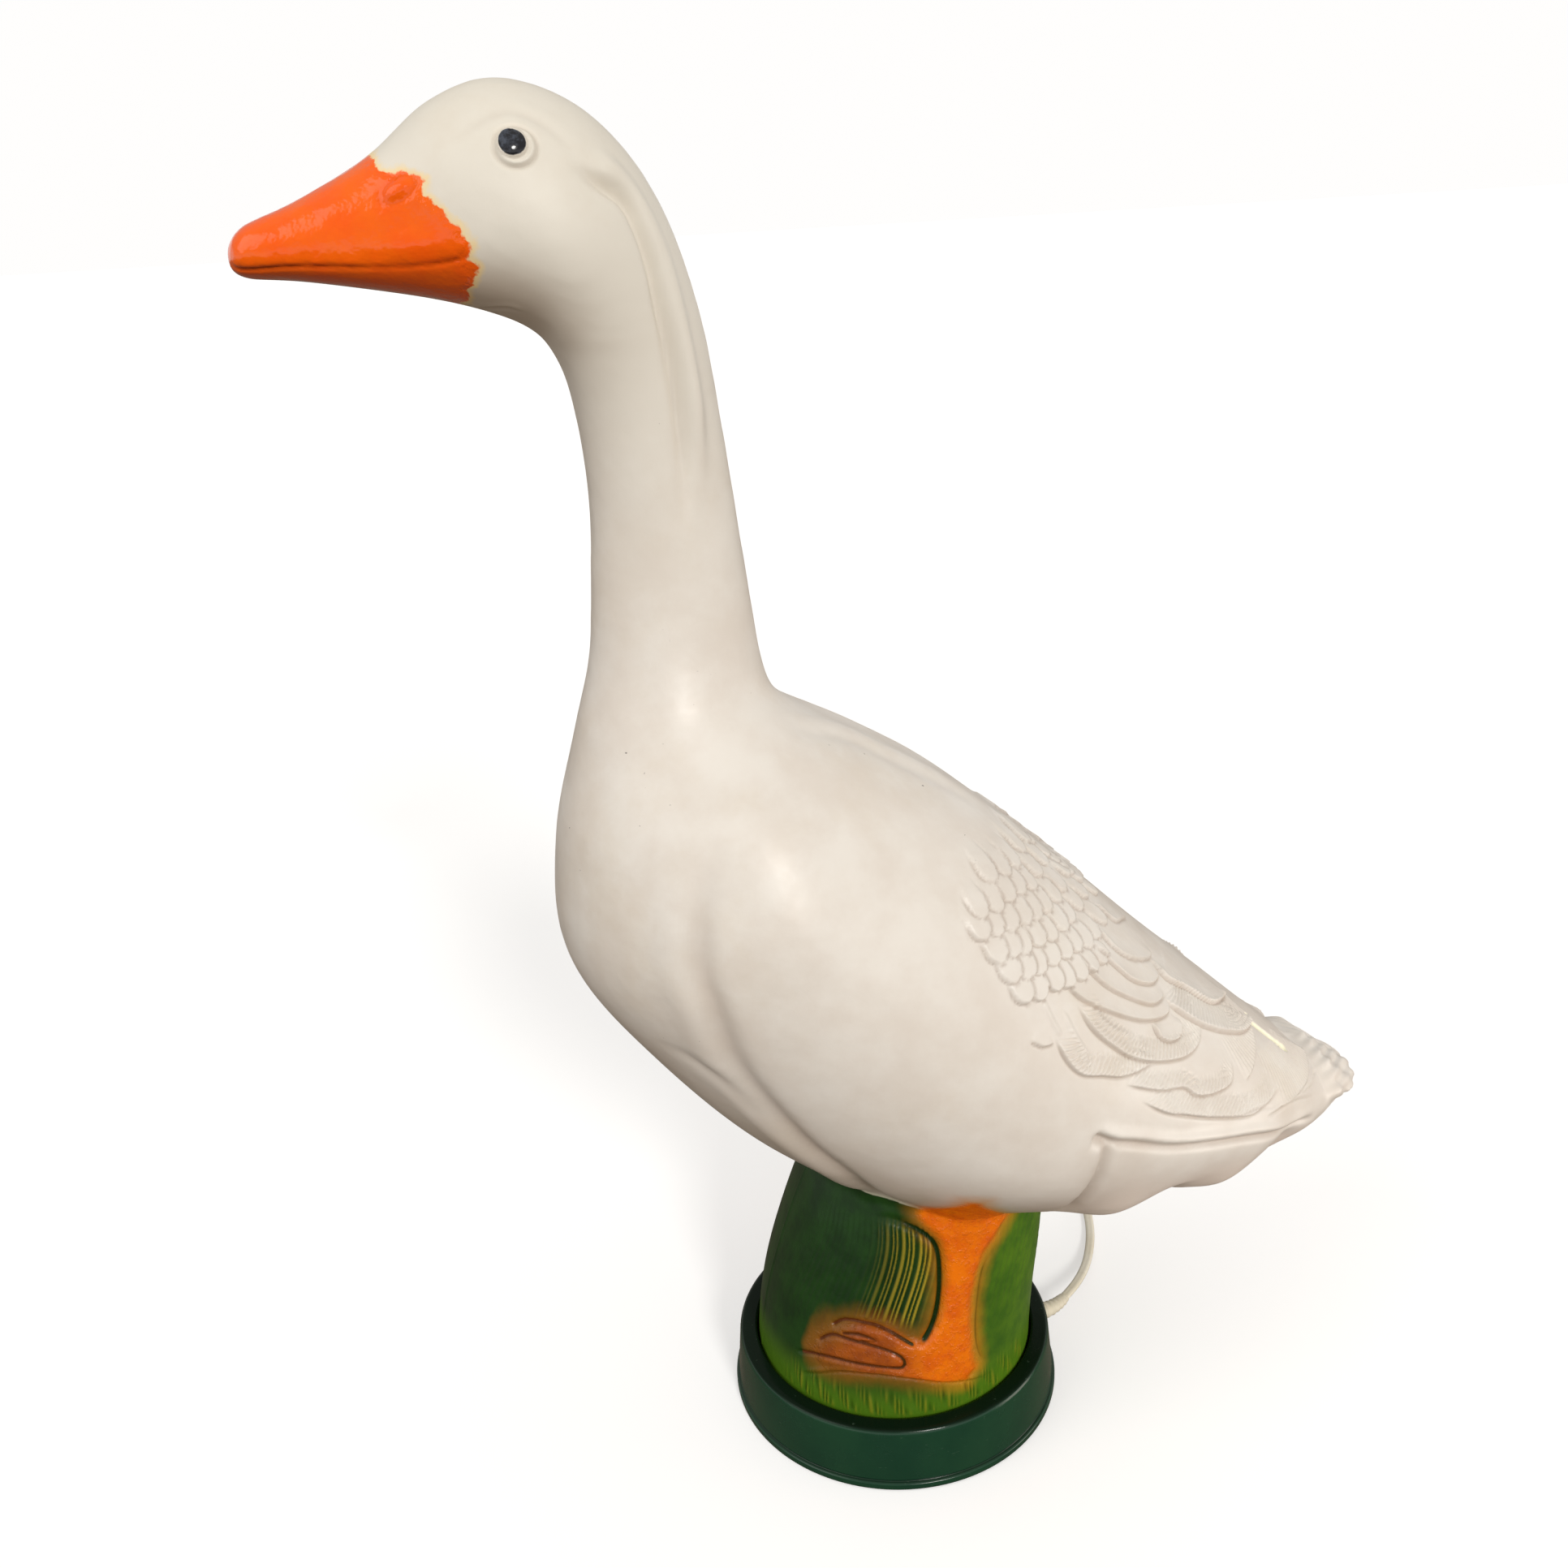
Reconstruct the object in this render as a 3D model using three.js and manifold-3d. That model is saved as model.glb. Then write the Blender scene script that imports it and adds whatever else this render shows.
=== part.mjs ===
// A goose-shaped plastic lamp: a hollow white goose moulded in one piece with its green column,
// standing in a round dark green base that carries a small lampholder, a bulb and a flat mains lead
// with an in-line rocker switch and a flat two-pin plug.
//
// Millimetres, +Z up. The goose looks along -X, its plane of symmetry is y = 0, and the origin is on
// the floor under the middle of the goose's length.

import * as THREE from 'three';
import { mergeVertices } from 'three/addons/utils/BufferGeometryUtils.js';
import Module from 'manifold-3d';

const wasm = await Module();
wasm.setup();

// ---------------------------------------------------------------- driving dimensions

const GAP = 0.3;                    // left between pieces that touch
const WALL = 3;                     // wall of the blow-moulded goose

const BASE_X = -7;                  // centre of the base and of everything inside it
const FLANGE_R = 90;                // bottom flange of the base ring
const SKIRT_R = 88.6;               // skirt just above the flange's groove
const SHOULDER_R = 85.8;            // skirt at its top edge
const SOCKET_R = 76.6;              // inside of the collar that the goose's foot drops into
const RING_WALL = 2.4;
const RING_BOTTOM = 0.5;
const RING_TOP = 35.6;
const FLOOR_BOTTOM = 4.5;           // base floor, which the goose stands on
const FLOOR_TOP = 7.5;
const FLOOR_R = 84;
const FOOT_Z = FLOOR_TOP + GAP;     // lower edge of the goose's column

const CORD_W = 5.4;                 // flat twin flex, width and thickness
const CORD_T = 3.3;
const CORD_Z = CORD_T / 2 + 0.1;    // centre line of the flex where it lies on the floor
const EXIT_ANGLE = THREE.MathUtils.degToRad(2);
const EXIT_Z = 12.8;
const NOTCH_TOP = 18;                // slots for the flex in the goose's foot and in the collar

const COIL = { x: 55, y: 180, inner: 22.5, outer: 39.5, bottom: 0.9, top: 8 };
const SWITCH = { x: 73, y: 242, length: 64, width: 22, split: 7.4, top: 14.6, bottom: 0.3 };
const ROCKER = { length: 15, width: 9, tilt: THREE.MathUtils.degToRad(-11), pivotZ: 12.2 };
const PLUG = { x: 88, y: 144, relief: 18, body: 30, width: 35.3, thick: 13.7, z: 7.2 };

const HOLDER = { plateZ: 24, baseZ: 25.8, baseTop: 33, sleeveTop: 58, radius: 13.5 };
const BULB = { bottom: 35.2, capR: 6.7, capTop: 54, globeR: 22.5, globeZ: 88 };

// ---------------------------------------------------------------- materials

function plastic(color, roughness = 0.45) {
  return new THREE.MeshStandardMaterial({ color, roughness, metalness: 0 });
}

function metal(color, roughness = 0.35) {
  return new THREE.MeshStandardMaterial({ color, roughness, metalness: 1 });
}

const gooseWhite = plastic(0xeee8dc, 0.4);
const baseGreen = plastic(0x1c4430, 0.35);
const holderBlack = plastic(0x24211f, 0.5);
const ivory = plastic(0xe9e2cb, 0.4);
const innerWhite = plastic(0xdedad0, 0.5);
const leadBrown = plastic(0x5b3420, 0.5);
const leadBlue = plastic(0x2d5aa0, 0.5);
const rubberBlack = plastic(0x1b1b1b, 0.9);
const steel = metal(0x9a9a96);
const brass = metal(0xb08d4a, 0.3);
const nickel = metal(0xc6c4bc, 0.25);
const bulbGlass = new THREE.MeshStandardMaterial({
  color: 0xf4f2ec, roughness: 0.2, metalness: 0, transparent: true, opacity: 0.5,
});

// ---------------------------------------------------------------- solids and meshes

const lamp = new THREE.Group();

function addPart(name, geometry, material) {
  const mesh = new THREE.Mesh(geometry, material);
  mesh.name = name;
  lamp.add(mesh);
  return mesh;
}

// A closed geometry as a manifold solid; the zero-width triangles on a lathe's axis are dropped.
function solid(geometry) {
  const bare = geometry.clone();
  bare.deleteAttribute('normal');
  bare.deleteAttribute('uv');
  const merged = mergeVertices(bare, 1e-4);
  const index = merged.index.array;
  const triangles = [];
  for (let i = 0; i < index.length; i += 3) {
    const [a, b, c] = [index[i], index[i + 1], index[i + 2]];
    if (a !== b && b !== c && c !== a) triangles.push(a, b, c);
  }
  const mesh = new wasm.Mesh({
    numProp: 3,
    vertProperties: new Float32Array(merged.attributes.position.array),
    triVerts: new Uint32Array(triangles),
  });
  return new wasm.Manifold(mesh);
}

function toGeometry(manifold) {
  const mesh = manifold.getMesh();
  const geometry = new THREE.BufferGeometry();
  geometry.setAttribute('position', new THREE.BufferAttribute(new Float32Array(mesh.vertProperties), 3));
  geometry.setIndex(new THREE.BufferAttribute(new Uint32Array(mesh.triVerts), 1));
  geometry.computeVertexNormals();
  return geometry;
}

// body with every tool cut out of it
function cut(body, tools) {
  let result = solid(body);
  for (const tool of tools) result = result.subtract(solid(tool));
  return toGeometry(result);
}

// body joined with extras, then with every tool cut out
function joinAndCut(body, extras, tools) {
  let result = solid(body);
  for (const extra of extras) result = result.add(solid(extra));
  for (const tool of tools) result = result.subtract(solid(tool));
  return toGeometry(result);
}

// profile is a list of [radius, height], outer wall going up; the axis is +Z through (x, y)
function lathe(profile, segments = 16, x = 0, y = 0) {
  const points = profile.map(([r, z]) => new THREE.Vector2(r, z));
  return new THREE.LatheGeometry(points, segments).rotateX(Math.PI / 2).translate(x, y, 0);
}

function disc(radius, bottom, top, segments = 16, x = 0, y = 0) {
  return lathe([[0, bottom], [radius, bottom], [radius, top], [0, top]], segments, x, y);
}

function block(x0, x1, y0, y1, z0, z1) {
  return new THREE.BoxGeometry(x1 - x0, y1 - y0, z1 - z0)
    .translate((x0 + x1) / 2, (y0 + y1) / 2, (z0 + z1) / 2);
}

// outline in the X-Z plane, points [x, z] counter-clockwise seen from -Y, drawn out along Y
function sideExtrude(outline, y0, y1, holes = []) {
  const shape = new THREE.Shape(outline.map(([x, z]) => new THREE.Vector2(x, z)));
  for (const hole of holes) shape.holes.push(hole);
  return new THREE.ExtrudeGeometry(shape, { depth: y1 - y0, bevelEnabled: false, curveSegments: 8 })
    .rotateX(Math.PI / 2).translate(0, y1, 0);
}

// a tube of the given half sizes (up and across) along points [x, y, z]
function tube(points, halfUp, halfAcross, steps) {
  const curve = new THREE.CatmullRomCurve3(points.map((p) => new THREE.Vector3(...p)));
  const sides = 8;
  const outline = [];
  for (let k = 0; k < sides; k += 1) {
    const angle = (2 * Math.PI * (k + 0.5)) / sides;
    outline.push(new THREE.Vector2(halfUp * Math.cos(angle), halfAcross * Math.sin(angle)));
  }
  const options = { steps, bevelEnabled: false, extrudePath: curve };
  return new THREE.ExtrudeGeometry(new THREE.Shape(outline), options);
}

// ---------------------------------------------------------------- goose

// Cross-sections from the beak's tip to the tail's: the point on the upper outline (x, z), the point
// on the lower outline (x, z), half the width, how far down the widest point is (0 to 1) and the
// exponent of the side's roundness (1 is an ellipse, less is boxier).
const GOOSE_SECTIONS = [
  [-261, 614, -261, 607, 5, 0.5, 1],          // tip of the beak
  [-254, 622, -256, 603, 15, 0.6, 0.8],
  [-233, 630, -231, 600, 22, 0.7, 0.82],      // nostrils
  [-203, 645, -185, 591, 31, 0.68, 0.88],     // root of the beak
  [-177, 664, -157, 582, 40, 0.6, 1],         // eyes
  [-149, 671, -144, 574, 43, 0.56, 1],        // crown
  [-117, 658, -139, 566, 42, 0.55, 1],        // nape
  [-92, 627, -135, 555, 37, 0.53, 1],
  [-77, 582, -132, 532, 30, 0.5, 1],          // top of the neck
  [-70, 530, -131, 502, 28, 0.5, 1],
  [-64, 470, -134, 466, 30, 0.5, 1],
  [-58, 420, -138, 434, 37, 0.5, 1],          // foot of the neck
  [-46, 404, -148, 400, 50, 0.5, 1],
  [-15, 386, -162, 348, 77, 0.5, 1],          // shoulders
  [23, 361, -163, 294, 96, 0.5, 1],
  [61, 329, -133, 242, 107, 0.5, 1],          // breast
  [97, 295, -83, 184, 111, 0.5, 1],
  [135, 258, -21, 144, 109, 0.5, 1],          // middle of the back
  [171, 225, 55, 125, 97, 0.48, 1],
  [202, 196, 123, 122, 80, 0.45, 1],          // thighs
  [226, 175, 167, 119, 60, 0.42, 1],
  [239, 164, 190, 124, 47, 0.4, 1],           // vent
  [247, 157, 211, 129, 37, 0.4, 1],
  [254, 152, 230, 137, 29, 0.4, 1],           // tail
  [259, 149, 245, 140, 22, 0.45, 1],
  [261, 147, 257, 142, 13, 0.5, 1],
];

// The green column under the belly, as level sections from its foot up: front x, z, rear x, z, half
// width, widest point, roundness.
const COLUMN_SECTIONS = [
  [-82.6, FOOT_Z, 68.6, FOOT_Z, 75.6, 0.5, 1],
  [-82.4, 36, 68.4, 36, 75.4, 0.5, 1],
  [-78, 68, 71, 68, 73.5, 0.5, 1],
  [-69, 100, 75, 100, 70, 0.5, 1],
  [-56, 135, 78, 135, 65, 0.5, 1],
  [-40, 168, 80, 168, 58, 0.5, 1],            // inside the belly
];

// One number of the sections at position t (0 to 1), on a uniform Catmull-Rom curve through them.
function sectionAt(sections, t) {
  const last = sections.length - 1;
  const i = Math.min(Math.floor(t * last), last - 1);
  const u = t * last - i;
  return sections[0].map((unused, k) => {
    const p1 = sections[i][k];
    const p2 = sections[i + 1][k];
    const p0 = i > 0 ? sections[i - 1][k] : 2 * p1 - p2;
    const p3 = i + 1 < last ? sections[i + 2][k] : 2 * p2 - p1;
    return 0.5 * (2 * p1 + (p2 - p0) * u + (2 * p0 - 5 * p1 + 4 * p2 - p3) * u ** 2
      + (3 * p1 - p0 - 3 * p2 + p3) * u ** 3);
  });
}

// The point of a section at angle theta, 0 on the upper outline, with the section shrunk by inset.
function sectionPoint([ux, uz, lx, lz, half, widest, power], theta, inset) {
  const c = Math.cos(theta);
  const s = Math.sin(theta);
  const height = Math.hypot(lx - ux, lz - uz);
  const down = c > 0 ? widest * (1 - c) : widest + (1 - widest) * -c;
  const along = inset / height + down * (1 - (2 * inset) / height);
  const y = (half - inset) * Math.sign(s) * Math.abs(s) ** power;
  return [ux + (lx - ux) * along, y, uz + (lz - uz) * along];
}

// A closed skin over the sections, rings of points joined by triangles and a fan over each end.
function loft(sections, rings, sides, inset = 0) {
  const positions = [];
  const indices = [];
  for (let i = 0; i < rings; i += 1) {
    const section = sectionAt(sections, i / (rings - 1));
    for (let j = 0; j < sides; j += 1) {
      positions.push(...sectionPoint(section, (2 * Math.PI * j) / sides, inset));
    }
  }
  for (let i = 0; i < rings - 1; i += 1) {
    for (let j = 0; j < sides; j += 1) {
      const k = (j + 1) % sides;
      const [a, b] = [i * sides + j, i * sides + k];
      const [c, d] = [a + sides, b + sides];
      indices.push(a, d, b, a, c, d);
    }
  }
  for (const end of [0, rings - 1]) {
    const centre = positions.length / 3;
    const opposite = end * sides + sides / 2;
    for (let axis = 0; axis < 3; axis += 1) {
      positions.push((positions[end * sides * 3 + axis] + positions[opposite * 3 + axis]) / 2);
    }
    for (let j = 0; j < sides; j += 1) {
      const [a, b] = [end * sides + j, end * sides + ((j + 1) % sides)];
      if (end === 0) indices.push(centre, a, b);
      else indices.push(centre, b, a);
    }
  }
  const geometry = new THREE.BufferGeometry();
  geometry.setAttribute('position', new THREE.Float32BufferAttribute(positions, 3));
  geometry.setIndex(indices);
  return geometry;
}

function gooseShell() {
  const hollowSections = GOOSE_SECTIONS.slice(4, 22);
  const belowFoot = COLUMN_SECTIONS[0].slice();
  belowFoot[1] = FOOT_Z - WALL;
  belowFoot[3] = FOOT_Z - WALL;
  const outer = solid(loft(GOOSE_SECTIONS, 56, 24)).add(solid(loft(COLUMN_SECTIONS, 8, 32)));
  const inner = solid(loft(hollowSections, 28, 16, WALL))
    .add(solid(loft([belowFoot, ...COLUMN_SECTIONS], 8, 24, WALL)));
  const cordNotch = block(BASE_X + 60, BASE_X + FLANGE_R, -6, 10, 0, NOTCH_TOP);
  return toGeometry(outer.subtract(inner).subtract(solid(cordNotch)));
}

// ---------------------------------------------------------------- base

const RING_SEGMENTS = 40;
const SCREW_RING_R = 82;            // bosses between the collar and the skirt
const PAD_RING_R = 68;

function polar(radius, angle) {
  return [BASE_X + radius * Math.cos(angle), radius * Math.sin(angle)];
}

function quarterAngles(start) {
  return [0, 1, 2, 3].map((k) => start + (k * Math.PI) / 2);
}

const CORNER_ANGLES = quarterAngles(Math.PI / 4);   // of the base's screws and of its rubber feet

// A piece drawn along +Z from the base's axis, turned to lie along the cord's exit.
function alongExit(geometry, z = EXIT_Z) {
  return geometry.rotateY(Math.PI / 2).rotateZ(EXIT_ANGLE).translate(BASE_X, 0, z);
}

// An inverted channel: flange, groove, sloping skirt, rounded shoulder, flat top and inner collar.
function baseRing() {
  const profile = [
    [FLANGE_R - RING_WALL - 2, RING_BOTTOM],
    [FLANGE_R - 0.6, RING_BOTTOM],
    [FLANGE_R, RING_BOTTOM + 0.8],
    [FLANGE_R, 4.2],
    [FLANGE_R - 0.8, 4.8],
    [SKIRT_R - 0.4, 5],
    [SKIRT_R - 0.4, 5.8],
    [SKIRT_R, 6.2],
    [SHOULDER_R + 0.4, RING_TOP - 2.4],
    [SHOULDER_R - 0.5, RING_TOP - 0.6],
    [SHOULDER_R - 2, RING_TOP],
    [SOCKET_R + 0.8, RING_TOP],
    [SOCKET_R, RING_TOP - 0.8],
    [SOCKET_R, FOOT_Z + 0.6],
    [SOCKET_R + 2, FOOT_Z + 0.6],
    [SOCKET_R + 2, RING_TOP - RING_WALL],
    [SHOULDER_R - RING_WALL - 0.4, RING_TOP - RING_WALL],
    [SKIRT_R - RING_WALL, 6],
    [FLANGE_R - RING_WALL - 2, RING_BOTTOM],
  ];
  const corners = CORNER_ANGLES.map((angle) => polar(SCREW_RING_R, angle));
  const bosses = corners.map(([x, y]) => disc(3.4, FLOOR_TOP + GAP, 34, 12, x, y));
  const pilotHoles = corners.map(([x, y]) => disc(1.7, 0, 22, 8, x, y));
  const grommetHole = alongExit(disc(3.9, SOCKET_R + 4, FLANGE_R + 5, 16));
  const collarNotch = block(BASE_X + 60, BASE_X + SOCKET_R + 3, -6, 10, 0, NOTCH_TOP);
  const ring = lathe(profile, RING_SEGMENTS, BASE_X);
  return joinAndCut(ring, bosses, [...pilotHoles, grommetHole, collarNotch]);
}

const CLAMP_R = 52;                 // distance of the cord clamp from the base's axis
const CLAMP_SCREW_Y = 8;
const CLAMP_Z = EXIT_Z + CORD_T / 2 + GAP;
const CLAMP_THICK = 3;
const BRACKET_TAB = 21;             // distance of the bracket's screws from the base's axis

function clampScrewPlaces() {
  return [-1, 1].map((side) => [BASE_X + CLAMP_R, side * CLAMP_SCREW_Y + 1.8]);
}

function bracketScrewPlaces() {
  return [-1, 1].map((side) => [BASE_X, side * BRACKET_TAB]);
}

function baseFloor() {
  const plate = disc(FLOOR_R, FLOOR_BOTTOM, FLOOR_TOP, RING_SEGMENTS, BASE_X);
  const bosses = clampScrewPlaces().map(([x, y]) => disc(3.2, FLOOR_TOP - 1, CLAMP_Z - GAP, 12, x, y));
  const holes = [
    ...CORNER_ANGLES.map((angle) => disc(2, 0, 20, 8, ...polar(SCREW_RING_R, angle))),
    ...clampScrewPlaces().map(([x, y]) => disc(1.7, 0, 20, 8, x, y)),
    ...bracketScrewPlaces().map(([x, y]) => disc(1.7, 0, 20, 8, x, y)),
  ];
  return joinAndCut(plate, bosses, holes);
}

// A pan-head screw with its shank up (up = 1) or down (up = -1) from the seat of its head.
function screw(x, y, seatZ, up, shank, headR = 3, shankR = 1.35) {
  const profile = [
    [0, -1.9], [headR * 0.7, -1.9], [headR, -1.2], [headR, 0],
    [shankR, 0], [shankR, shank - 1.2], [0, shank],
  ];
  const body = lathe(profile, 10);
  const slot = block(-headR, headR, -0.4, 0.4, -3, -1.2);
  const geometry = cut(body, [slot]);
  if (up < 0) geometry.rotateX(Math.PI);
  return geometry.translate(x, y, seatZ);
}

addPart('goose_shell', gooseShell(), gooseWhite);
addPart('base_ring', baseRing(), baseGreen);
addPart('base_floor', baseFloor(), baseGreen);

CORNER_ANGLES.forEach((angle, k) => {
  const [x, y] = polar(SCREW_RING_R, angle);
  addPart(`floor_screw_${k + 1}`, screw(x, y, FLOOR_BOTTOM - GAP, 1, 15), steel);
});

CORNER_ANGLES.forEach((angle, k) => {
  const profile = [[0, 0], [6.4, 0], [7, 0.8], [7.4, FLOOR_BOTTOM - GAP], [0, FLOOR_BOTTOM - GAP]];
  addPart(`foot_pad_${k + 1}`, lathe(profile, 12, ...polar(PAD_RING_R, angle)), rubberBlack);
});

// ---------------------------------------------------------------- lampholder

// A strip bent into a table, with a tab on the floor at each end.
function holderBracket() {
  const legY = 14;
  const tab = BRACKET_TAB + 4.5;
  const [bottom, top, sheet] = [FLOOR_TOP + GAP, HOLDER.plateZ + 1.5, 1.5];
  const outline = [
    [-tab, bottom], [-legY + sheet, bottom], [-legY + sheet, top - sheet], [legY - sheet, top - sheet],
    [legY - sheet, bottom], [tab, bottom], [tab, bottom + sheet], [legY, bottom + sheet],
    [legY, top], [-legY, top], [-legY, bottom + sheet], [-tab, bottom + sheet],
  ];
  const strip = sideExtrude(outline, -6, 6).rotateZ(Math.PI / 2).translate(BASE_X, 0, 0);
  return cut(strip, bracketScrewPlaces().map(([x, y]) => disc(1.7, 0, 12, 8, x, y)));
}

const TERMINAL_Z = HOLDER.baseZ + 3.6;

function terminalTool(side, radius, from, to) {
  return disc(radius, from, to, 8).rotateX(-side * Math.PI / 2).translate(BASE_X, 0, TERMINAL_Z);
}

function holderBase() {
  const body = disc(11.4, HOLDER.baseZ, HOLDER.baseTop, 24, BASE_X);
  return cut(body, [-1, 1].map((side) => terminalTool(side, 2, 7, 14)));
}

function holderSleeve() {
  const { baseZ, sleeveTop, radius } = HOLDER;
  const profile = [
    [radius - 1.7, baseZ], [radius, baseZ], [radius, baseZ + 1], [radius - 0.5, baseZ + 2],
    [radius - 0.5, sleeveTop - 3], [radius, sleeveTop - 2], [radius, sleeveTop],
    [radius - 2.6, sleeveTop], [radius - 2.6, sleeveTop - 2], [radius - 1.7, sleeveTop - 2],
    [radius - 1.7, baseZ],
  ];
  const doorways = [-1, 1].map((side) => terminalTool(side, 2.6, 8, 18));
  return cut(lathe(profile, 24, BASE_X), doorways);
}

// the brass screw shell: a ring with three rolled threads
function threadSleeve() {
  const profile = [[7.3, HOLDER.baseTop + GAP], [8.1, HOLDER.baseTop + GAP]];
  const turns = 3;
  const pitch = 2.83;
  const start = HOLDER.baseTop + 12;
  for (let k = 0; k < turns; k += 1) {
    profile.push([8.1, start + k * pitch], [8.6, start + (k + 0.5) * pitch]);
  }
  profile.push([8.1, start + turns * pitch], [7.3, start + turns * pitch]);
  for (let k = turns - 1; k >= 0; k -= 1) {
    profile.push([7.8, start + (k + 0.5) * pitch], [7.3, start + k * pitch]);
  }
  profile.push([7.3, HOLDER.baseTop + GAP]);
  return lathe(profile, 20, BASE_X);
}

// a bent leaf under the bulb's tip
function contactSpring() {
  const z = HOLDER.baseTop + GAP;
  const outline = [[-5.5, z], [-1, z], [5, z + 1], [5, z + 1.4], [-1, z + 0.4], [-5.5, z + 0.4]];
  return sideExtrude(outline, -1.8, 1.8).translate(BASE_X, 0, 0);
}

addPart('holder_bracket', holderBracket(), steel);
bracketScrewPlaces().forEach(([x, y], k) => {
  addPart(`bracket_screw_${k + 1}`, screw(x, y, FLOOR_TOP + 2 * GAP + 1.5, -1, 4.5, 2.8), steel);
});
addPart('holder_base', holderBase(), innerWhite);
addPart('holder_sleeve', holderSleeve(), holderBlack);
addPart('holder_thread', threadSleeve(), brass);
addPart('holder_contact', contactSpring(), brass);
[-1, 1].forEach((side, k) => {
  addPart(`terminal_screw_${k + 1}`, terminalTool(side, 1.6, 7 + GAP, 11.2), brass);
});

// ---------------------------------------------------------------- bulb

function bulbCap() {
  const { bottom, capR, capTop } = BULB;
  const profile = [[capR - 3, bottom + 2], [capR - 0.6, bottom + 4.4]];
  const turns = 4;
  const pitch = 2.83;
  for (let k = 0; k < turns; k += 1) {
    profile.push([capR, bottom + 5.6 + k * pitch], [capR - 0.6, bottom + 7 + k * pitch]);
  }
  profile.push([capR, capTop - 1], [capR + 0.3, capTop], [capR - 0.5, capTop], [capR - 1.4, capTop - 2]);
  profile.push([capR - 1.4, bottom + 5], [capR - 3, bottom + 2.6], [capR - 3, bottom + 2]);
  return lathe(profile, 20, BASE_X);
}

// a globe on a neck, hollow and open at its lower end inside the cap
function bulbEnvelope() {
  const { capR, capTop, globeR, globeZ } = BULB;
  const neckR = capR - 1.8;
  const glass = 0.9;
  const profile = [[neckR, capTop - 6], [neckR, capTop + 1]];
  const start = -1.02;
  const arcs = 7;
  for (let k = 0; k <= arcs; k += 1) {
    const angle = start + ((Math.PI / 2 - start) * k) / arcs;
    profile.push([k === arcs ? 0 : globeR * Math.cos(angle), globeZ + globeR * Math.sin(angle)]);
  }
  for (let k = arcs; k >= 0; k -= 1) {
    const angle = start + ((Math.PI / 2 - start) * k) / arcs;
    const radius = globeR - glass;
    profile.push([k === arcs ? 0 : radius * Math.cos(angle), globeZ + radius * Math.sin(angle)]);
  }
  profile.push([neckR - glass, capTop + 1], [neckR - glass, capTop - 6], [neckR, capTop - 6]);
  return lathe(profile, 16, BASE_X);
}

function bulbInsulator() {
  const { bottom, capR } = BULB;
  const outer = capR - 3 - GAP;
  const profile = [[0, bottom + 1.2], [outer - 1, bottom + 1.2], [outer, bottom + 2.6], [0, bottom + 2.6]];
  return lathe(profile, 12, BASE_X);
}

addPart('bulb_cap', bulbCap(), nickel);
addPart('bulb_glass', bulbEnvelope(), bulbGlass);
addPart('bulb_insulator', bulbInsulator(), holderBlack);
addPart('bulb_tip', disc(1.8, BULB.bottom + 0.1, BULB.bottom + 1.2 - GAP, 10, BASE_X), nickel);

// ---------------------------------------------------------------- lead inside the base

function insideCord() {
  return alongExit(block(-CORD_T / 2, CORD_T / 2, -CORD_W / 2, CORD_W / 2, CLAMP_R - 8, 81 - GAP));
}

function grommet() {
  const profile = [
    [0, 81], [4.8, 81], [4.8, 84], [3.6, 84.4],
    [3.6, 90], [4.8, 90.4], [4.2, 94], [0, 94],
  ];
  return alongExit(lathe(profile, 16));
}

function coreLead(side) {
  const start = CLAMP_R - 8 - GAP;
  const points = [
    [BASE_X + start, 1.5 + side * 1.4, EXIT_Z],
    [BASE_X + start - 8, 1.3 + side * 3, EXIT_Z + 1],
    [BASE_X + 24, side * 12, EXIT_Z + 7],
    [BASE_X + 13, side * 19, TERMINAL_Z - 4],
    [BASE_X + 4, side * 19, TERMINAL_Z - 1],
    [BASE_X + 1, side * 17, TERMINAL_Z],
    [BASE_X, side * 14.6, TERMINAL_Z],
  ];
  return tube(points, 1.1, 1.1, 14);
}

function clampBar() {
  const [x0, x1] = [BASE_X + CLAMP_R - 4, BASE_X + CLAMP_R + 4];
  const bar = block(x0, x1, -10.6, 14.2, CLAMP_Z, CLAMP_Z + CLAMP_THICK);
  return cut(bar, clampScrewPlaces().map(([x, y]) => disc(1.8, 10, 22, 8, x, y)));
}

addPart('cord_grommet', grommet(), ivory);
addPart('cord_inside', insideCord(), ivory);
addPart('lead_live', coreLead(1), leadBrown);
addPart('lead_neutral', coreLead(-1), leadBlue);
addPart('clamp_bar', clampBar(), innerWhite);
clampScrewPlaces().forEach(([x, y], k) => {
  addPart(`clamp_screw_${k + 1}`, screw(x, y, CLAMP_Z + CLAMP_THICK + GAP, -1, 11), steel);
});

// ---------------------------------------------------------------- mains lead on the floor

// From the grommet down to the floor, round behind the lamp and into the switch.
const LEAD_ROUTE = [
  [87.5, 3.3, EXIT_Z], [93, 4.6, 12.7], [101, 11, 11.7], [110.5, 19.5, 9.8], [121, 31, 7.2],
  [130.5, 44, 4.6], [139, 58.5, 2.8], [146.5, 74, 2], [152, 90, CORD_Z], [157.5, 110, CORD_Z],
  [163, 130, CORD_Z], [167, 152, CORD_Z], [167, 175, CORD_Z], [161, 198, CORD_Z],
  [149, 218, CORD_Z], [132, 232.5, 2.4], [117, 240, 4.4], [106.3, 242, 6],
];

// From the switch's other end to the outside of the coil.
const SWITCH_TO_COIL = [
  [39.7, 242, 6], [31, 241, 5.4], [21, 237.5, 3.4], [12.5, 230.5, 2], [7.5, 220.5, CORD_Z],
  [6.4, 209, CORD_Z], [8.4, 197, CORD_Z], [11, 187, CORD_Z], [12.2, 180, CORD_Z],
];

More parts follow.
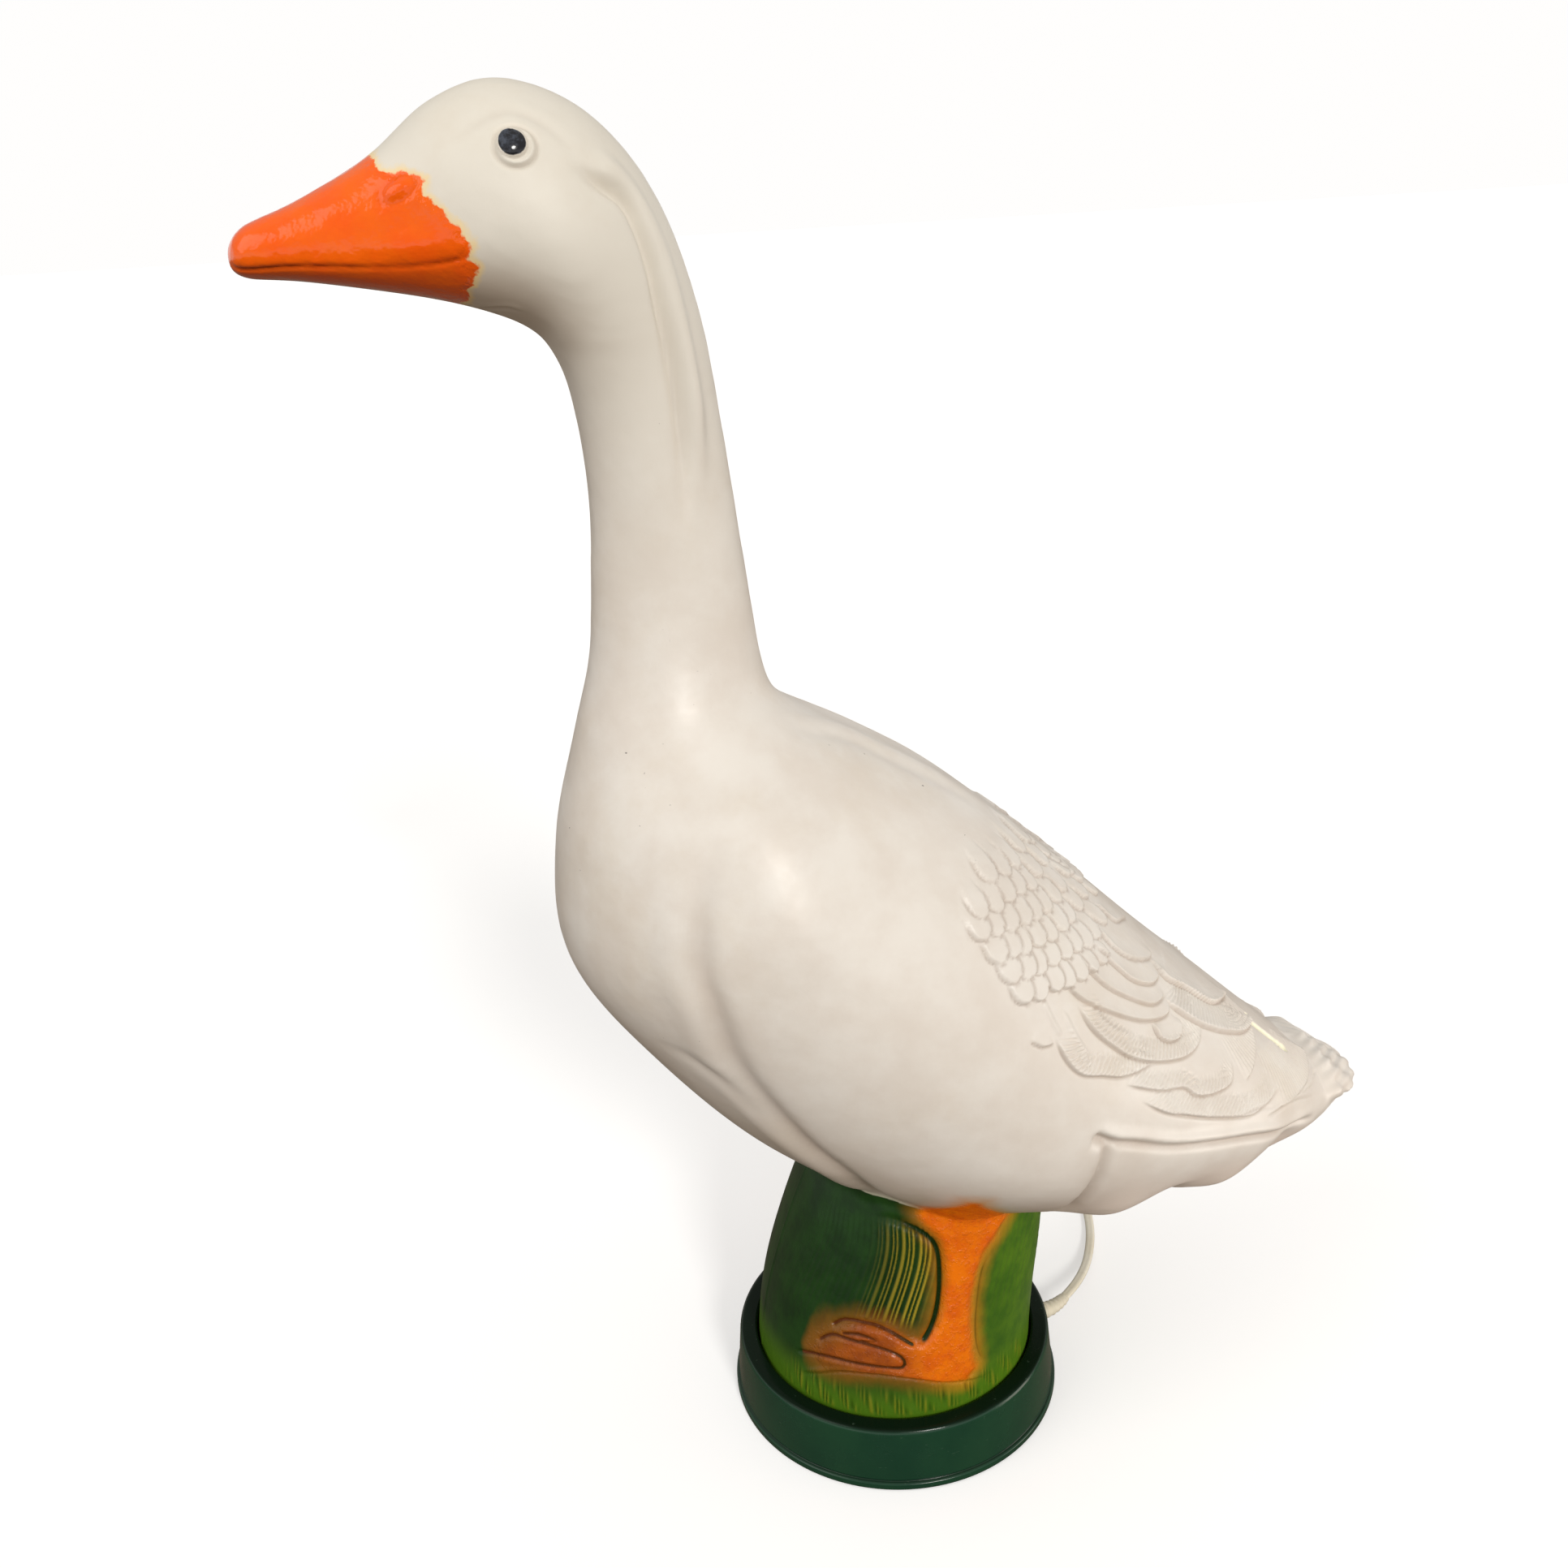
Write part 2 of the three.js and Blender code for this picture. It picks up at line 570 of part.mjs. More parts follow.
// From the outside of the coil into the plug.
const COIL_TO_PLUG = [
  [55, 137.2, CORD_Z], [62, 137.4, CORD_Z], [69, 138.8, 2.4], [76, 141.4, 4.3], [82, 143.3, 6],
  [PLUG.x - 2 * GAP, PLUG.y, PLUG.z],
];

addPart('cord_lead', tube(LEAD_ROUTE, CORD_T / 2, CORD_W / 2, 30), ivory);
addPart('cord_to_coil', tube(SWITCH_TO_COIL, CORD_T / 2, CORD_W / 2, 12), ivory);
addPart('cord_to_plug', tube(COIL_TO_PLUG, CORD_T / 2, CORD_W / 2, 8), ivory);

function coilRing() {
  const { x, y, inner, outer, bottom, top } = COIL;
  const profile = [[inner, bottom], [outer, bottom], [outer, top], [inner, top], [inner, bottom]];
  return lathe(profile, 24, x, y);
}

// a strap round the bundle of turns
function coilTie() {
  const { x, y, inner, outer, bottom, top } = COIL;
  const angle = THREE.MathUtils.degToRad(25);
  const strap = 0.5;
  const innerFace = inner - 3 * GAP;
  const inside = block(innerFace, outer + GAP, -10, 10, bottom - GAP, top + GAP);
  const around = block(innerFace - strap, outer + GAP + strap, -3.5, 3.5,
    bottom - GAP - strap, top + GAP + strap);
  return cut(around, [inside]).rotateZ(angle).translate(x, y, 0);
}

addPart('cord_coil', coilRing(), ivory);
addPart('coil_tie', coilTie(), ivory);

// ---------------------------------------------------------------- in-line switch

// A long body with rounded ends seen from above, from z0 to z1, smaller by inset all round.
function switchBody(z0, z1, inset = 0) {
  const halfLength = SWITCH.length / 2 - inset;
  const halfWidth = SWITCH.width / 2 - inset;
  const corner = 7 - inset;
  const shape = new THREE.Shape();
  shape.absarc(halfLength - corner, halfWidth - corner, corner, 0, Math.PI / 2);
  shape.absarc(corner - halfLength, halfWidth - corner, corner, Math.PI / 2, Math.PI);
  shape.absarc(corner - halfLength, corner - halfWidth, corner, Math.PI, 1.5 * Math.PI);
  shape.absarc(halfLength - corner, corner - halfWidth, corner, 1.5 * Math.PI, 2 * Math.PI);
  return new THREE.ExtrudeGeometry(shape, { depth: z1 - z0, bevelEnabled: false, curveSegments: 4 })
    .translate(SWITCH.x, SWITCH.y, z0);
}

function switchScrewPlaces() {
  return [-1, 1].map((side) => [SWITCH.x + side * 22, SWITCH.y - side * 6.5]);
}

function switchBottom() {
  const { x, y, length, split, bottom } = SWITCH;
  const pocket = block(x - 17, x + 17, y - 7, y + 7, bottom + 2, split + 1);
  const channels = block(x - length, x + length, y - 3.1, y + 3.1, 3.9, split + 1);
  const holes = switchScrewPlaces().map(([sx, sy]) => disc(1.7, -1, 12, 8, sx, sy));
  const counterbores = switchScrewPlaces().map(([sx, sy]) => disc(2.9, -1, 2.6, 10, sx, sy));
  return cut(switchBody(bottom, split), [pocket, channels, ...holes, ...counterbores]);
}

function switchTop() {
  const { x, y, split, top } = SWITCH;
  const window = block(x - ROCKER.length / 2 - 1, x + ROCKER.length / 2 + 1,
    y - ROCKER.width / 2 - 0.5, y + ROCKER.width / 2 + 0.5, 0, 30);
  const channels = block(x - 60, x + 60, y - 3.1, y + 3.1, 0, split + GAP + 0.9);
  const pinHole = disc(1.3, -8, 8, 10).rotateX(Math.PI / 2).translate(x, y, ROCKER.pivotZ);
  const pilots = switchScrewPlaces().map(([sx, sy]) => disc(1.7, 0, 12.5, 8, sx, sy));
  const lower = solid(switchBody(split + GAP, top - 2.5));
  const crown = solid(switchBody(top - 2.5, top, 1.2));
  let shell = lower.add(crown);
  for (const tool of [window, channels, pinHole, ...pilots]) shell = shell.subtract(solid(tool));
  return toGeometry(shell);
}

// The rocker's side: two slopes above the pivot and a round heel below it, kept inside a circle.
function switchRocker() {
  const half = ROCKER.length / 2;
  const outline = [[-half, 0.2]];
  for (const angle of [210, 240, 270, 300, 330]) {
    const a = THREE.MathUtils.degToRad(angle);
    outline.push([4.2 * Math.cos(a), 4.2 * Math.sin(a)]);
  }
  outline.push([half, 0.2], [half - 0.6, 4.2], [0, 3], [-half + 0.6, 4.2]);
  const bore = new THREE.Path();
  bore.absarc(0, 0, 1.3, 0, 2 * Math.PI);
  return sideExtrude(outline, -ROCKER.width / 2, ROCKER.width / 2, [bore])
    .rotateY(ROCKER.tilt).translate(SWITCH.x, SWITCH.y, ROCKER.pivotZ);
}

// A brass block on each side of the pocket, under the rocker's heel.
function switchTerminal(side) {
  const { x, y, bottom } = SWITCH;
  const from = x + side * 11;
  return block(from - 4, from + 4, y - 3, y + 3, bottom + 2 + GAP, 6.4);
}

addPart('switch_bottom', switchBottom(), ivory);
addPart('switch_top', switchTop(), ivory);
addPart('switch_rocker', switchRocker(), ivory);
addPart('switch_pin',
  disc(1, -7.6, 7.6, 10).rotateX(Math.PI / 2).translate(SWITCH.x, SWITCH.y, ROCKER.pivotZ), steel);
switchScrewPlaces().forEach(([x, y], k) => {
  addPart(`switch_screw_${k + 1}`, screw(x, y, 2.6 - GAP, 1, 9, 2.5, 1.3), steel);
});
[-1, 1].forEach((side, k) => {
  addPart(`switch_terminal_${k + 1}`, switchTerminal(side), brass);
});

// ---------------------------------------------------------------- plug

const PIN_PITCH = 19;
const PIN_LENGTH = 19;
const PIN_SOCKET = 8;

// A flat six-sided body with a tapering relief behind it.
function plugBody() {
  const { x, y, z, relief, body, width, thick } = PLUG;
  const [front, back, half] = [x + relief + body, x + relief, width / 2];
  const outline = [
    [back, 5.5], [back, -5.5], [back + 9, -half + 2], [back + 14, -half], [front - 3, -half],
    [front, -half + 3], [front, half - 3], [front - 3, half], [back + 14, half], [back + 9, half - 2],
  ];
  const shape = new THREE.Shape(outline.map(([px, py]) => new THREE.Vector2(px, py)));
  const slab = new THREE.ExtrudeGeometry(shape, {
    depth: thick - 2.4, bevelEnabled: true, bevelSize: 1.2, bevelThickness: 1.2, bevelOffset: -1.2,
    bevelSegments: 1,
  }).translate(0, y, z - thick / 2 + 1.2);
  const cone = lathe([[0, 0], [3.4, 0], [5, relief + 2], [0, relief + 2]], 12)
    .rotateY(Math.PI / 2).translate(x, y, z);
  const sockets = [-1, 1].map((side) => disc(2 + GAP, front - PIN_SOCKET, front + 1, 12)
    .rotateY(Math.PI / 2).translate(0, y + (side * PIN_PITCH) / 2, z));
  return joinAndCut(slab, [cone], sockets);
}

// The pins' plastic sleeves stand out of the body, and the bare tips continue them.
function plugPinPart(side, from, to, radius, round) {
  const start = PLUG.x + PLUG.relief + PLUG.body;
  const profile = [[0, from], [radius, from], [radius, to - round], [radius - round, to], [0, to]];
  return lathe(profile, 12).rotateY(Math.PI / 2).translate(start, PLUG.y + (side * PIN_PITCH) / 2, PLUG.z);
}

addPart('plug_body', plugBody(), ivory);
[-1, 1].forEach((side, k) => {
  addPart(`plug_sleeve_${k + 1}`, plugPinPart(side, GAP - PIN_SOCKET, 10, 1.95, 0.1), holderBlack);
  addPart(`plug_pin_${k + 1}`, plugPinPart(side, 10 + GAP, PIN_LENGTH, 2, 0.9), brass);
});

export default lamp;
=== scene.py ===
# Looks of the goose table lamp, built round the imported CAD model.
import math

import bmesh
import bpy
import numpy as np
from mathutils import Matrix, Vector
from mathutils.bvhtree import BVHTree


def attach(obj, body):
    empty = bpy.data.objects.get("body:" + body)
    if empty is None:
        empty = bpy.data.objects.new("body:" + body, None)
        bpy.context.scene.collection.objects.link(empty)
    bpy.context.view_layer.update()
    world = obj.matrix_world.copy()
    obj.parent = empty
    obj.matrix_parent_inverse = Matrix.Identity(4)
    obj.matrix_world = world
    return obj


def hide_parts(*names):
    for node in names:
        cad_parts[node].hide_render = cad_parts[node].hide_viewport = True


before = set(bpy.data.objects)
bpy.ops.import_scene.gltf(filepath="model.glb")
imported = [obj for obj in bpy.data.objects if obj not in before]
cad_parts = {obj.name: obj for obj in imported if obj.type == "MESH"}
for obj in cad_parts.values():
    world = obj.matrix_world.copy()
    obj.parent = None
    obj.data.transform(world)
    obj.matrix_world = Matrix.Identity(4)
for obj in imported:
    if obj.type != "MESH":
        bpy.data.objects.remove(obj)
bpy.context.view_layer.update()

# Shapes are written in millimetres, as in the CAD source, and become metres when a mesh is made.
MM = 0.001
WALL = 3.0                           # thickness of the grass column's wall
BASE_X = -7.0                        # middle of the round base
FOOT_Z = 7.8                         # underside of the column, just above the floor plate


# ---------------------------------------------------------------- camera

CAMERA_PLACE = (-187.5, -638.5, 610.2)
CAMERA_FORWARD = Vector((0.1943, 0.9143, -0.3554)).normalized()
CAMERA_UP = Vector((0.1306, 0.3349, 0.9331))
CAMERA_LENS = 33.54
SENSOR_WIDTH = 36


def add_camera():
    data = bpy.data.cameras.new("camera")
    data.lens = CAMERA_LENS
    data.sensor_width = SENSOR_WIDTH
    data.clip_start = 0.01
    camera = bpy.data.objects.new("camera", data)
    right = CAMERA_FORWARD.cross(CAMERA_UP).normalized()
    up = right.cross(CAMERA_FORWARD)
    turn = Matrix((right, up, -CAMERA_FORWARD)).transposed().to_4x4()
    camera.matrix_world = Matrix.Translation(Vector(CAMERA_PLACE) * MM) @ turn
    bpy.context.scene.collection.objects.link(camera)
    bpy.context.scene.camera = camera


add_camera()


# ---------------------------------------------------------------- mesh tools

def make_object(name, points, faces, smooth=True):
    """A mesh object from points in millimetres."""
    mesh = bpy.data.meshes.new(name)
    mesh.from_pydata([tuple(p) for p in np.asarray(points, float) * MM], [], [tuple(f) for f in faces])
    mesh.update()
    if smooth:
        mesh.shade_smooth()
    obj = bpy.data.objects.new(name, mesh)
    bpy.context.scene.collection.objects.link(obj)
    return obj


def apply_modifiers(obj):
    """Replaces the object's mesh by what its modifiers make of it."""
    graph = bpy.context.evaluated_depsgraph_get()
    mesh = bpy.data.meshes.new_from_object(obj.evaluated_get(graph))
    old = obj.data
    obj.modifiers.clear()
    obj.data = mesh
    bpy.data.meshes.remove(old)


def bevel(obj, width, segments=3, limit=40):
    modifier = obj.modifiers.new("bevel", "BEVEL")
    modifier.width = width * MM
    modifier.segments = segments
    modifier.limit_method = "ANGLE"
    modifier.angle_limit = math.radians(limit)
    apply_modifiers(obj)
    crisp(obj)


def crisp(obj, angle=35):
    """Smooth shading with sharp edges kept where the surface turns more than angle."""
    obj.data.shade_smooth()
    obj.data.set_sharp_from_angle(angle=math.radians(angle))


def carve(obj, tools, operation="DIFFERENCE", solver="EXACT"):
    """Cuts the tools out of the object, or joins them to it, and removes them."""
    for tool in tools:
        modifier = obj.modifiers.new("carve", "BOOLEAN")
        modifier.operation = operation
        modifier.object = tool
        modifier.solver = solver
    apply_modifiers(obj)
    for tool in tools:
        bpy.data.objects.remove(tool)


def joined(name, objects):
    """One object from several, with their world places kept."""
    build = bmesh.new()
    for obj in objects:
        mesh = obj.data.copy()
        mesh.transform(obj.matrix_world)
        build.from_mesh(mesh)
        bpy.data.meshes.remove(mesh)
        bpy.data.objects.remove(obj)
    mesh = bpy.data.meshes.new(name)
    build.to_mesh(mesh)
    build.free()
    result = bpy.data.objects.new(name, mesh)
    bpy.context.scene.collection.objects.link(result)
    return result


def face_outwards(obj):
    """Joins points that meet and turns every face of a closed mesh outwards."""
    build = bmesh.new()
    build.from_mesh(obj.data)
    bmesh.ops.remove_doubles(build, verts=build.verts, dist=1e-6)
    bmesh.ops.recalc_face_normals(build, faces=build.faces)
    build.to_mesh(obj.data)
    build.free()


def grid_faces(rows, columns, closed=True):
    """Quads over a grid of points numbered row by row; closed joins the last column to the first."""
    faces = []
    for i in range(rows - 1):
        for j in range(columns if closed else columns - 1):
            k = (j + 1) % columns
            faces.append((i * columns + j, i * columns + k, (i + 1) * columns + k, (i + 1) * columns + j))
    return faces


def lathe(name, profile, segments=96, centre=(BASE_X, 0)):
    """A solid of revolution; profile is [radius, height] with the outer wall going up."""
    turns = np.arange(segments) * 2 * math.pi / segments
    points = []
    for radius, height in profile:
        for turn in turns:
            points.append((radius * math.cos(turn), radius * math.sin(turn), height))
    faces = grid_faces(len(profile), segments)
    obj = make_object(name, points, faces)
    face_outwards(obj)
    obj.data.transform(Matrix.Translation((centre[0] * MM, centre[1] * MM, 0)))
    crisp(obj)
    return obj


def rounded(profile, radius, steps=3):
    """A lathe profile with each inner corner replaced by a small arc of about that radius."""
    points = [np.array(p, float) for p in profile]
    result = [points[0]]
    for before, corner, after in zip(points, points[1:], points[2:]):
        reach = min(radius, np.linalg.norm(before - corner) / 2.1, np.linalg.norm(after - corner) / 2.1)
        start = corner + (before - corner) / np.linalg.norm(before - corner) * reach
        end = corner + (after - corner) / np.linalg.norm(after - corner) * reach
        for k in range(steps + 1):
            t = k / steps
            result.append((1 - t) ** 2 * start + 2 * t * (1 - t) * corner + t ** 2 * end)
    result.append(points[-1])
    return result


def padded(table):
    """The table with one more row at each end, carried on straight."""
    return np.vstack([2 * table[0] - table[1], table, 2 * table[-1] - table[-2]])


def catmull_rom(p0, p1, p2, p3, u):
    """The point at share u of the way from p1 to p2, on a smooth curve through all four."""
    return 0.5 * (2 * p1 + (p2 - p0) * u + (2 * p0 - 5 * p1 + 4 * p2 - p3) * u ** 2
                  + (3 * p1 - p0 - 3 * p2 + p3) * u ** 3)


def spline(points, step):
    """Points about step apart on a Catmull-Rom curve through the given ones."""
    table = np.array(points, float)
    ends = padded(table)
    result = []
    for i in range(len(table) - 1):
        p0, p1, p2, p3 = ends[i:i + 4]
        count = max(1, int(round(np.linalg.norm(p2 - p1) / step)))
        for u in np.arange(count) / count:
            result.append(catmull_rom(p0, p1, p2, p3, u))
    result.append(table[-1])
    return np.array(result)


def lengths_along(points):
    """The distance along a line of points, up to each of them."""
    return np.concatenate([[0], np.cumsum(np.linalg.norm(np.diff(points, axis=0), axis=1))])


def points_at(points, distances):
    """The places at the given distances along a line of points."""
    lengths = lengths_along(points)
    return np.stack([np.interp(distances, lengths, points[:, k]) for k in range(3)], 1)


# ---------------------------------------------------------------- materials

def srgb(red, green, blue):
    """A colour given as 0-255 screen values, as the linear colour that nodes take."""
    linear = [((c / 255 + 0.055) / 1.055) ** 2.4 if c > 10 else c / 255 / 12.92 for c in (red, green, blue)]
    return (*linear, 1.0)


class Paint:
    """A node material written as short expressions; every colour comes from object coordinates."""

    def __init__(self, name, roughness=0.4, metallic=0.0):
        self.material = bpy.data.materials.new(name)
        self.material.use_nodes = True
        self.tree = self.material.node_tree
        self.shader = self.tree.nodes["Principled BSDF"]
        self.shader.inputs["Roughness"].default_value = roughness
        self.shader.inputs["Metallic"].default_value = metallic
        self.place = self.tree.nodes.new("ShaderNodeTexCoord").outputs["Object"]

    def feed(self, socket, value):
        """Links an input to an output, or gives it a value of its own."""
        if isinstance(value, bpy.types.NodeSocket):
            self.tree.links.new(value, socket)
        else:
            socket.default_value = value

    def node(self, kind, inputs, **settings):
        node = self.tree.nodes.new(kind)
        for key, value in settings.items():
            setattr(node, key, value)
        for key, value in inputs.items():
            self.feed(node.inputs[key], value)
        return node

    def set(self, socket, value):
        self.feed(self.shader.inputs[socket], value)

    def attribute(self, name):
        return self.node("ShaderNodeAttribute", {}, attribute_name=name).outputs["Fac"]

    def noise(self, scale, detail=4.0, roughness=0.6, stretch=None):
        place = self.place
        if stretch:
            place = self.node("ShaderNodeMapping", {"Vector": place, "Scale": stretch}).outputs["Vector"]
        inputs = {"Vector": place, "Scale": scale, "Detail": detail, "Roughness": roughness}
        return self.node("ShaderNodeTexNoise", inputs).outputs["Fac"]

    def plus(self, first, second):
        return self.node("ShaderNodeMath", {0: first, 1: second}, operation="ADD").outputs[0]

    def times(self, first, second):
        return self.node("ShaderNodeMath", {0: first, 1: second}, operation="MULTIPLY").outputs[0]

    def step(self, value, low, high):
        """0 below low, 1 above high, smooth between; low above high turns it round."""
        return self.node("ShaderNodeMapRange", {"Value": value, "From Min": low, "From Max": high},
                         interpolation_type="SMOOTHSTEP").outputs["Result"]

    def mix(self, factor, first, second):
        """The colour between two colours or sockets."""
        inputs = {0: factor, 6: first, 7: second}
        return self.node("ShaderNodeMix", inputs, data_type="RGBA").outputs[2]

    def cloudy(self, scale, detail, low, high, first, second):
        """Clouds of two colours: the first where the noise is below low, the second above high."""
        return self.mix(self.step(self.noise(scale, detail), low, high), first, second)

    def blend(self, factor, first, second):
        """The number between two numbers or sockets."""
        inputs = {"Factor": factor, "A": first, "B": second}
        return self.node("ShaderNodeMix", inputs, data_type="FLOAT").outputs["Result"]

    def height(self, value, depth, strength=1.0):
        """A bump from value, whose 0 to 1 stands for depth millimetres; several calls stack up."""
        inputs = {"Height": value, "Distance": depth * MM, "Strength": strength}
        links = self.shader.inputs["Normal"].links
        if links:
            inputs["Normal"] = links[0].from_socket
        self.set("Normal", self.node("ShaderNodeBump", inputs).outputs["Normal"])


def give(obj, paint):
    obj.data.materials.clear()
    obj.data.materials.append(paint.material)


def moulded(name, colour, darker, roughness, grain=900.0, dust_and_shade=0.25):
    """Moulded plastic: faint mottling, fine grain and dust in its colour and roughness."""
    paint = Paint(name, roughness)
    paint.set("Base Color", paint.cloudy(28, 6, 0.3, 0.75, colour, darker))
    cloud = paint.noise(75.0, 5.0)
    paint.set("Roughness", paint.blend(paint.step(cloud, 0.35, 0.7), roughness, roughness + dust_and_shade))
    paint.height(paint.noise(grain, 3.0), 0.05)
    return paint


def metal_paint(name, colour, tarnish, roughness):
    """Plated or turned metal with tarnish in patches and fine scratches."""
    paint = Paint(name, roughness, metallic=1.0)
    patch = paint.step(paint.noise(160.0, 6.0), 0.45, 0.7)
    paint.set("Base Color", paint.mix(patch, colour, tarnish))
    paint.set("Roughness", paint.blend(patch, roughness, roughness + 0.2))
    paint.height(paint.noise(2400.0, 2.0, stretch=(1.0, 1.0, 0.08)), 0.03)
    return paint


# ---------------------------------------------------------------- mains cord

CORD_W = 5.4
CORD_T = 3.3
CORD_Z = CORD_T / 2 + 0.1
EXIT_Z = 12.8
RELIEF_STEPS = (4, 2)                # steps of the cord's path inside the strain reliefs at its two ends
COIL_TIE_IN = 21.1
COIL_TIE_OUT = 40.3
CORD_STEP = 4.0                      # distance between the rings of the cord's mesh
COIL = {"x": 55.0, "y": 180.0, "outside": 42.8, "bottom": 2.6, "top": 6.0}
COIL_RADII = (36.6, 31.0, 25.4)      # the turns' centre lines, from the outside in
COIL_TURNS = 6.25
COIL_POINTS = 48                     # points in each turn
CROSSING = (70, 30)                  # degrees before and after a change from one turn to the next

# The same routes as in the CAD: ring to switch, switch to coil, coil to plug.
LEAD_ROUTE = [
    (87.5, 3.3, EXIT_Z), (93, 4.6, 12.7), (101, 11, 11.7), (110.5, 19.5, 9.8), (121, 31, 7.2),
    (130.5, 44, 4.6), (139, 58.5, 2.8), (146.5, 74, 2), (152, 90, CORD_Z), (157.5, 110, CORD_Z),
    (163, 130, CORD_Z), (167, 152, CORD_Z), (167, 175, CORD_Z), (161, 198, CORD_Z),
    (149, 218, CORD_Z), (132, 232.5, 2.4), (117, 240, 4.4), (106.3, 242, 6),
]
SWITCH_TO_COIL = [
    (39.7, 242, 6), (31, 241, 5.4), (21, 237.5, 3.4), (12.5, 230.5, 2), (7.5, 220.5, CORD_Z),
    (6.4, 209, CORD_Z), (8.4, 197, CORD_Z), (11, 187, CORD_Z), (12.2, 180, CORD_Z),
]
COIL_TO_PLUG = [
    (55, 137.2, CORD_Z), (62, 137.4, CORD_Z), (69, 138.8, 2.4), (76, 141.4, 4.3), (82, 143.3, 6),
    (87.4, 144, 7.2),
]


def ease(value, low, high):
    """0 below low, 1 above high, smooth between."""
    t = np.clip((np.asarray(value, float) - low) / (high - low), 0, 1)
    return t * t * (3 - 2 * t)


def coil_route():
    """Three turns inwards on the floor, then three outwards on top of them, seen turning left."""
    angle = np.linspace(0, COIL_TURNS * 360, int(COIL_TURNS * COIL_POINTS) + 1)[1:-1]
    early, late = CROSSING
    radius = COIL["outside"] - (COIL["outside"] - COIL_RADII[0]) * ease(angle, 0, 56)
    for k, change in ((0, 360), (1, 720)):
        radius -= (COIL_RADII[k] - COIL_RADII[k + 1]) * ease(angle, change - early, change + late)
    for k, change in ((1, 1440), (0, 1800)):
        radius += (COIL_RADII[k] - COIL_RADII[k + 1]) * ease(angle, change - late, change + early)
    end = COIL_TURNS * 360
    radius += (COIL["outside"] - COIL_RADII[0]) * ease(angle, end - 90, end - 10)
    height = CORD_Z + (COIL["bottom"] - CORD_Z) * ease(angle, 0, 60)
    height += (COIL["top"] - COIL["bottom"]) * ease(angle, 1020, 1140)
    height -= (COIL["top"] - CORD_Z) * ease(angle, end - 34, end)
    turn = np.radians(180 + angle)
    return np.stack([COIL["x"] + radius * np.cos(turn), COIL["y"] + radius * np.sin(turn), height], 1)


def cord_path():
    """Points CORD_STEP apart along the whole cord."""
    controls = [spline(LEAD_ROUTE, CORD_STEP), spline(SWITCH_TO_COIL, CORD_STEP), coil_route(),
                spline(COIL_TO_PLUG, CORD_STEP)]
    rough = spline(np.vstack(controls), CORD_STEP)
    for _ in range(3):
        rough[1:-1] = 0.25 * rough[:-2] + 0.5 * rough[1:-1] + 0.25 * rough[2:]
    total = lengths_along(rough)[-1]
    return points_at(rough, np.linspace(0, total, int(total / CORD_STEP) + 1))


def flex_outline():
    """Twin flex seen end on: two round cores side by side with a shallow groove between them."""
    outline = []
    for turn in np.radians(np.arange(0, 360, 15)):
        across = math.cos(turn)
        waist = 1 - 0.16 * math.exp(-(across / 0.22) ** 2)
        up = np.sign(math.sin(turn)) * abs(math.sin(turn)) ** 0.8
        outline.append((CORD_W / 2 * across, CORD_T / 2 * waist * up))
    return outline


def sweep(name, path, outline, sizes=None):
    """The outline (across, up) drawn along the path, flat to the floor, closed at both ends.

    sizes multiplies it at each point of the path, as (across, up).
    """
    tangent = np.gradient(path, axis=0)
    tangent /= np.linalg.norm(tangent, axis=1)[:, None]
    across = np.cross(tangent, (0, 0, 1))
    across /= np.linalg.norm(across, axis=1)[:, None]
    up = np.cross(across, tangent)
    if sizes is not None:
        across = across * sizes[:, :1]
        up = up * sizes[:, 1:]
    rings = [path + a * across + b * up for a, b in outline]
    points = np.stack(rings, 1).reshape(-1, 3)
    count = len(outline)
    faces = grid_faces(len(path), count)
    faces.append(tuple(range(count - 1, -1, -1)))
    faces.append(tuple((len(path) - 1) * count + k for k in range(count)))
    return make_object(name, points, faces)


def cord_paint():
    paint = Paint("flex", 0.38)
    tone = paint.cloudy(30, 4, 0.35, 0.7, srgb(246, 240, 222), srgb(236, 227, 203))
    smudge = paint.step(paint.noise(140, 6), 0.56, 0.78)
    paint.set("Base Color", paint.mix(paint.times(smudge, 0.2), tone, srgb(170, 158, 132)))
    paint.set("Roughness", paint.blend(smudge, 0.36, 0.6))
    paint.height(paint.noise(1500, 2), 0.03)
    return paint


FLEX = cord_paint()


def add_cord():
    """The cord, and the ends of its way that the strain reliefs of the base and the plug cover."""
    whole = cord_path()
    first, last = RELIEF_STEPS
    way_out, path, way_in = whole[:first + 1], whole[first:-last], whole[-last - 1:]
    length = lengths_along(path)[-1]
    cord = sweep("mains_cord", path, flex_outline())
    give(cord, FLEX)
    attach(cord, "base")
    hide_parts("cord_lead", "cord_to_coil", "cord_coil", "cord_to_plug")
    return cord, [tuple(p * MM) for p in path], length * MM, way_out, way_in


cord, cord_points, cord_length, way_out, way_in = add_cord()


# ---------------------------------------------------------------- small solids

def stack(name, rings):
    """A solid through rings of the same number of points, with flat ends."""
    count = len(rings[0])
    faces = grid_faces(len(rings), count)
    faces.append(tuple(range(count)))
    faces.append(tuple((len(rings) - 1) * count + k for k in range(count)))
    obj = make_object(name, [point for ring in rings for point in ring], faces)
    face_outwards(obj)
    crisp(obj)
    return obj


def extruded(name, outline, y0, y1):
    """The outline (x, z) drawn along Y."""
    return stack(name, [[(x, y, z) for x, z in outline] for y in (y0, y1)])


def block(x0, x1, y0, y1, z0, z1, name="block"):
    return extruded(name, [(x0, z0), (x1, z0), (x1, z1), (x0, z1)], y0, y1)


def disc(radius, z0, z1, centre=(BASE_X, 0), segments=32):
    return lathe("disc", [(0, z0), (radius, z0), (radius, z1), (0, z1)], segments, centre)


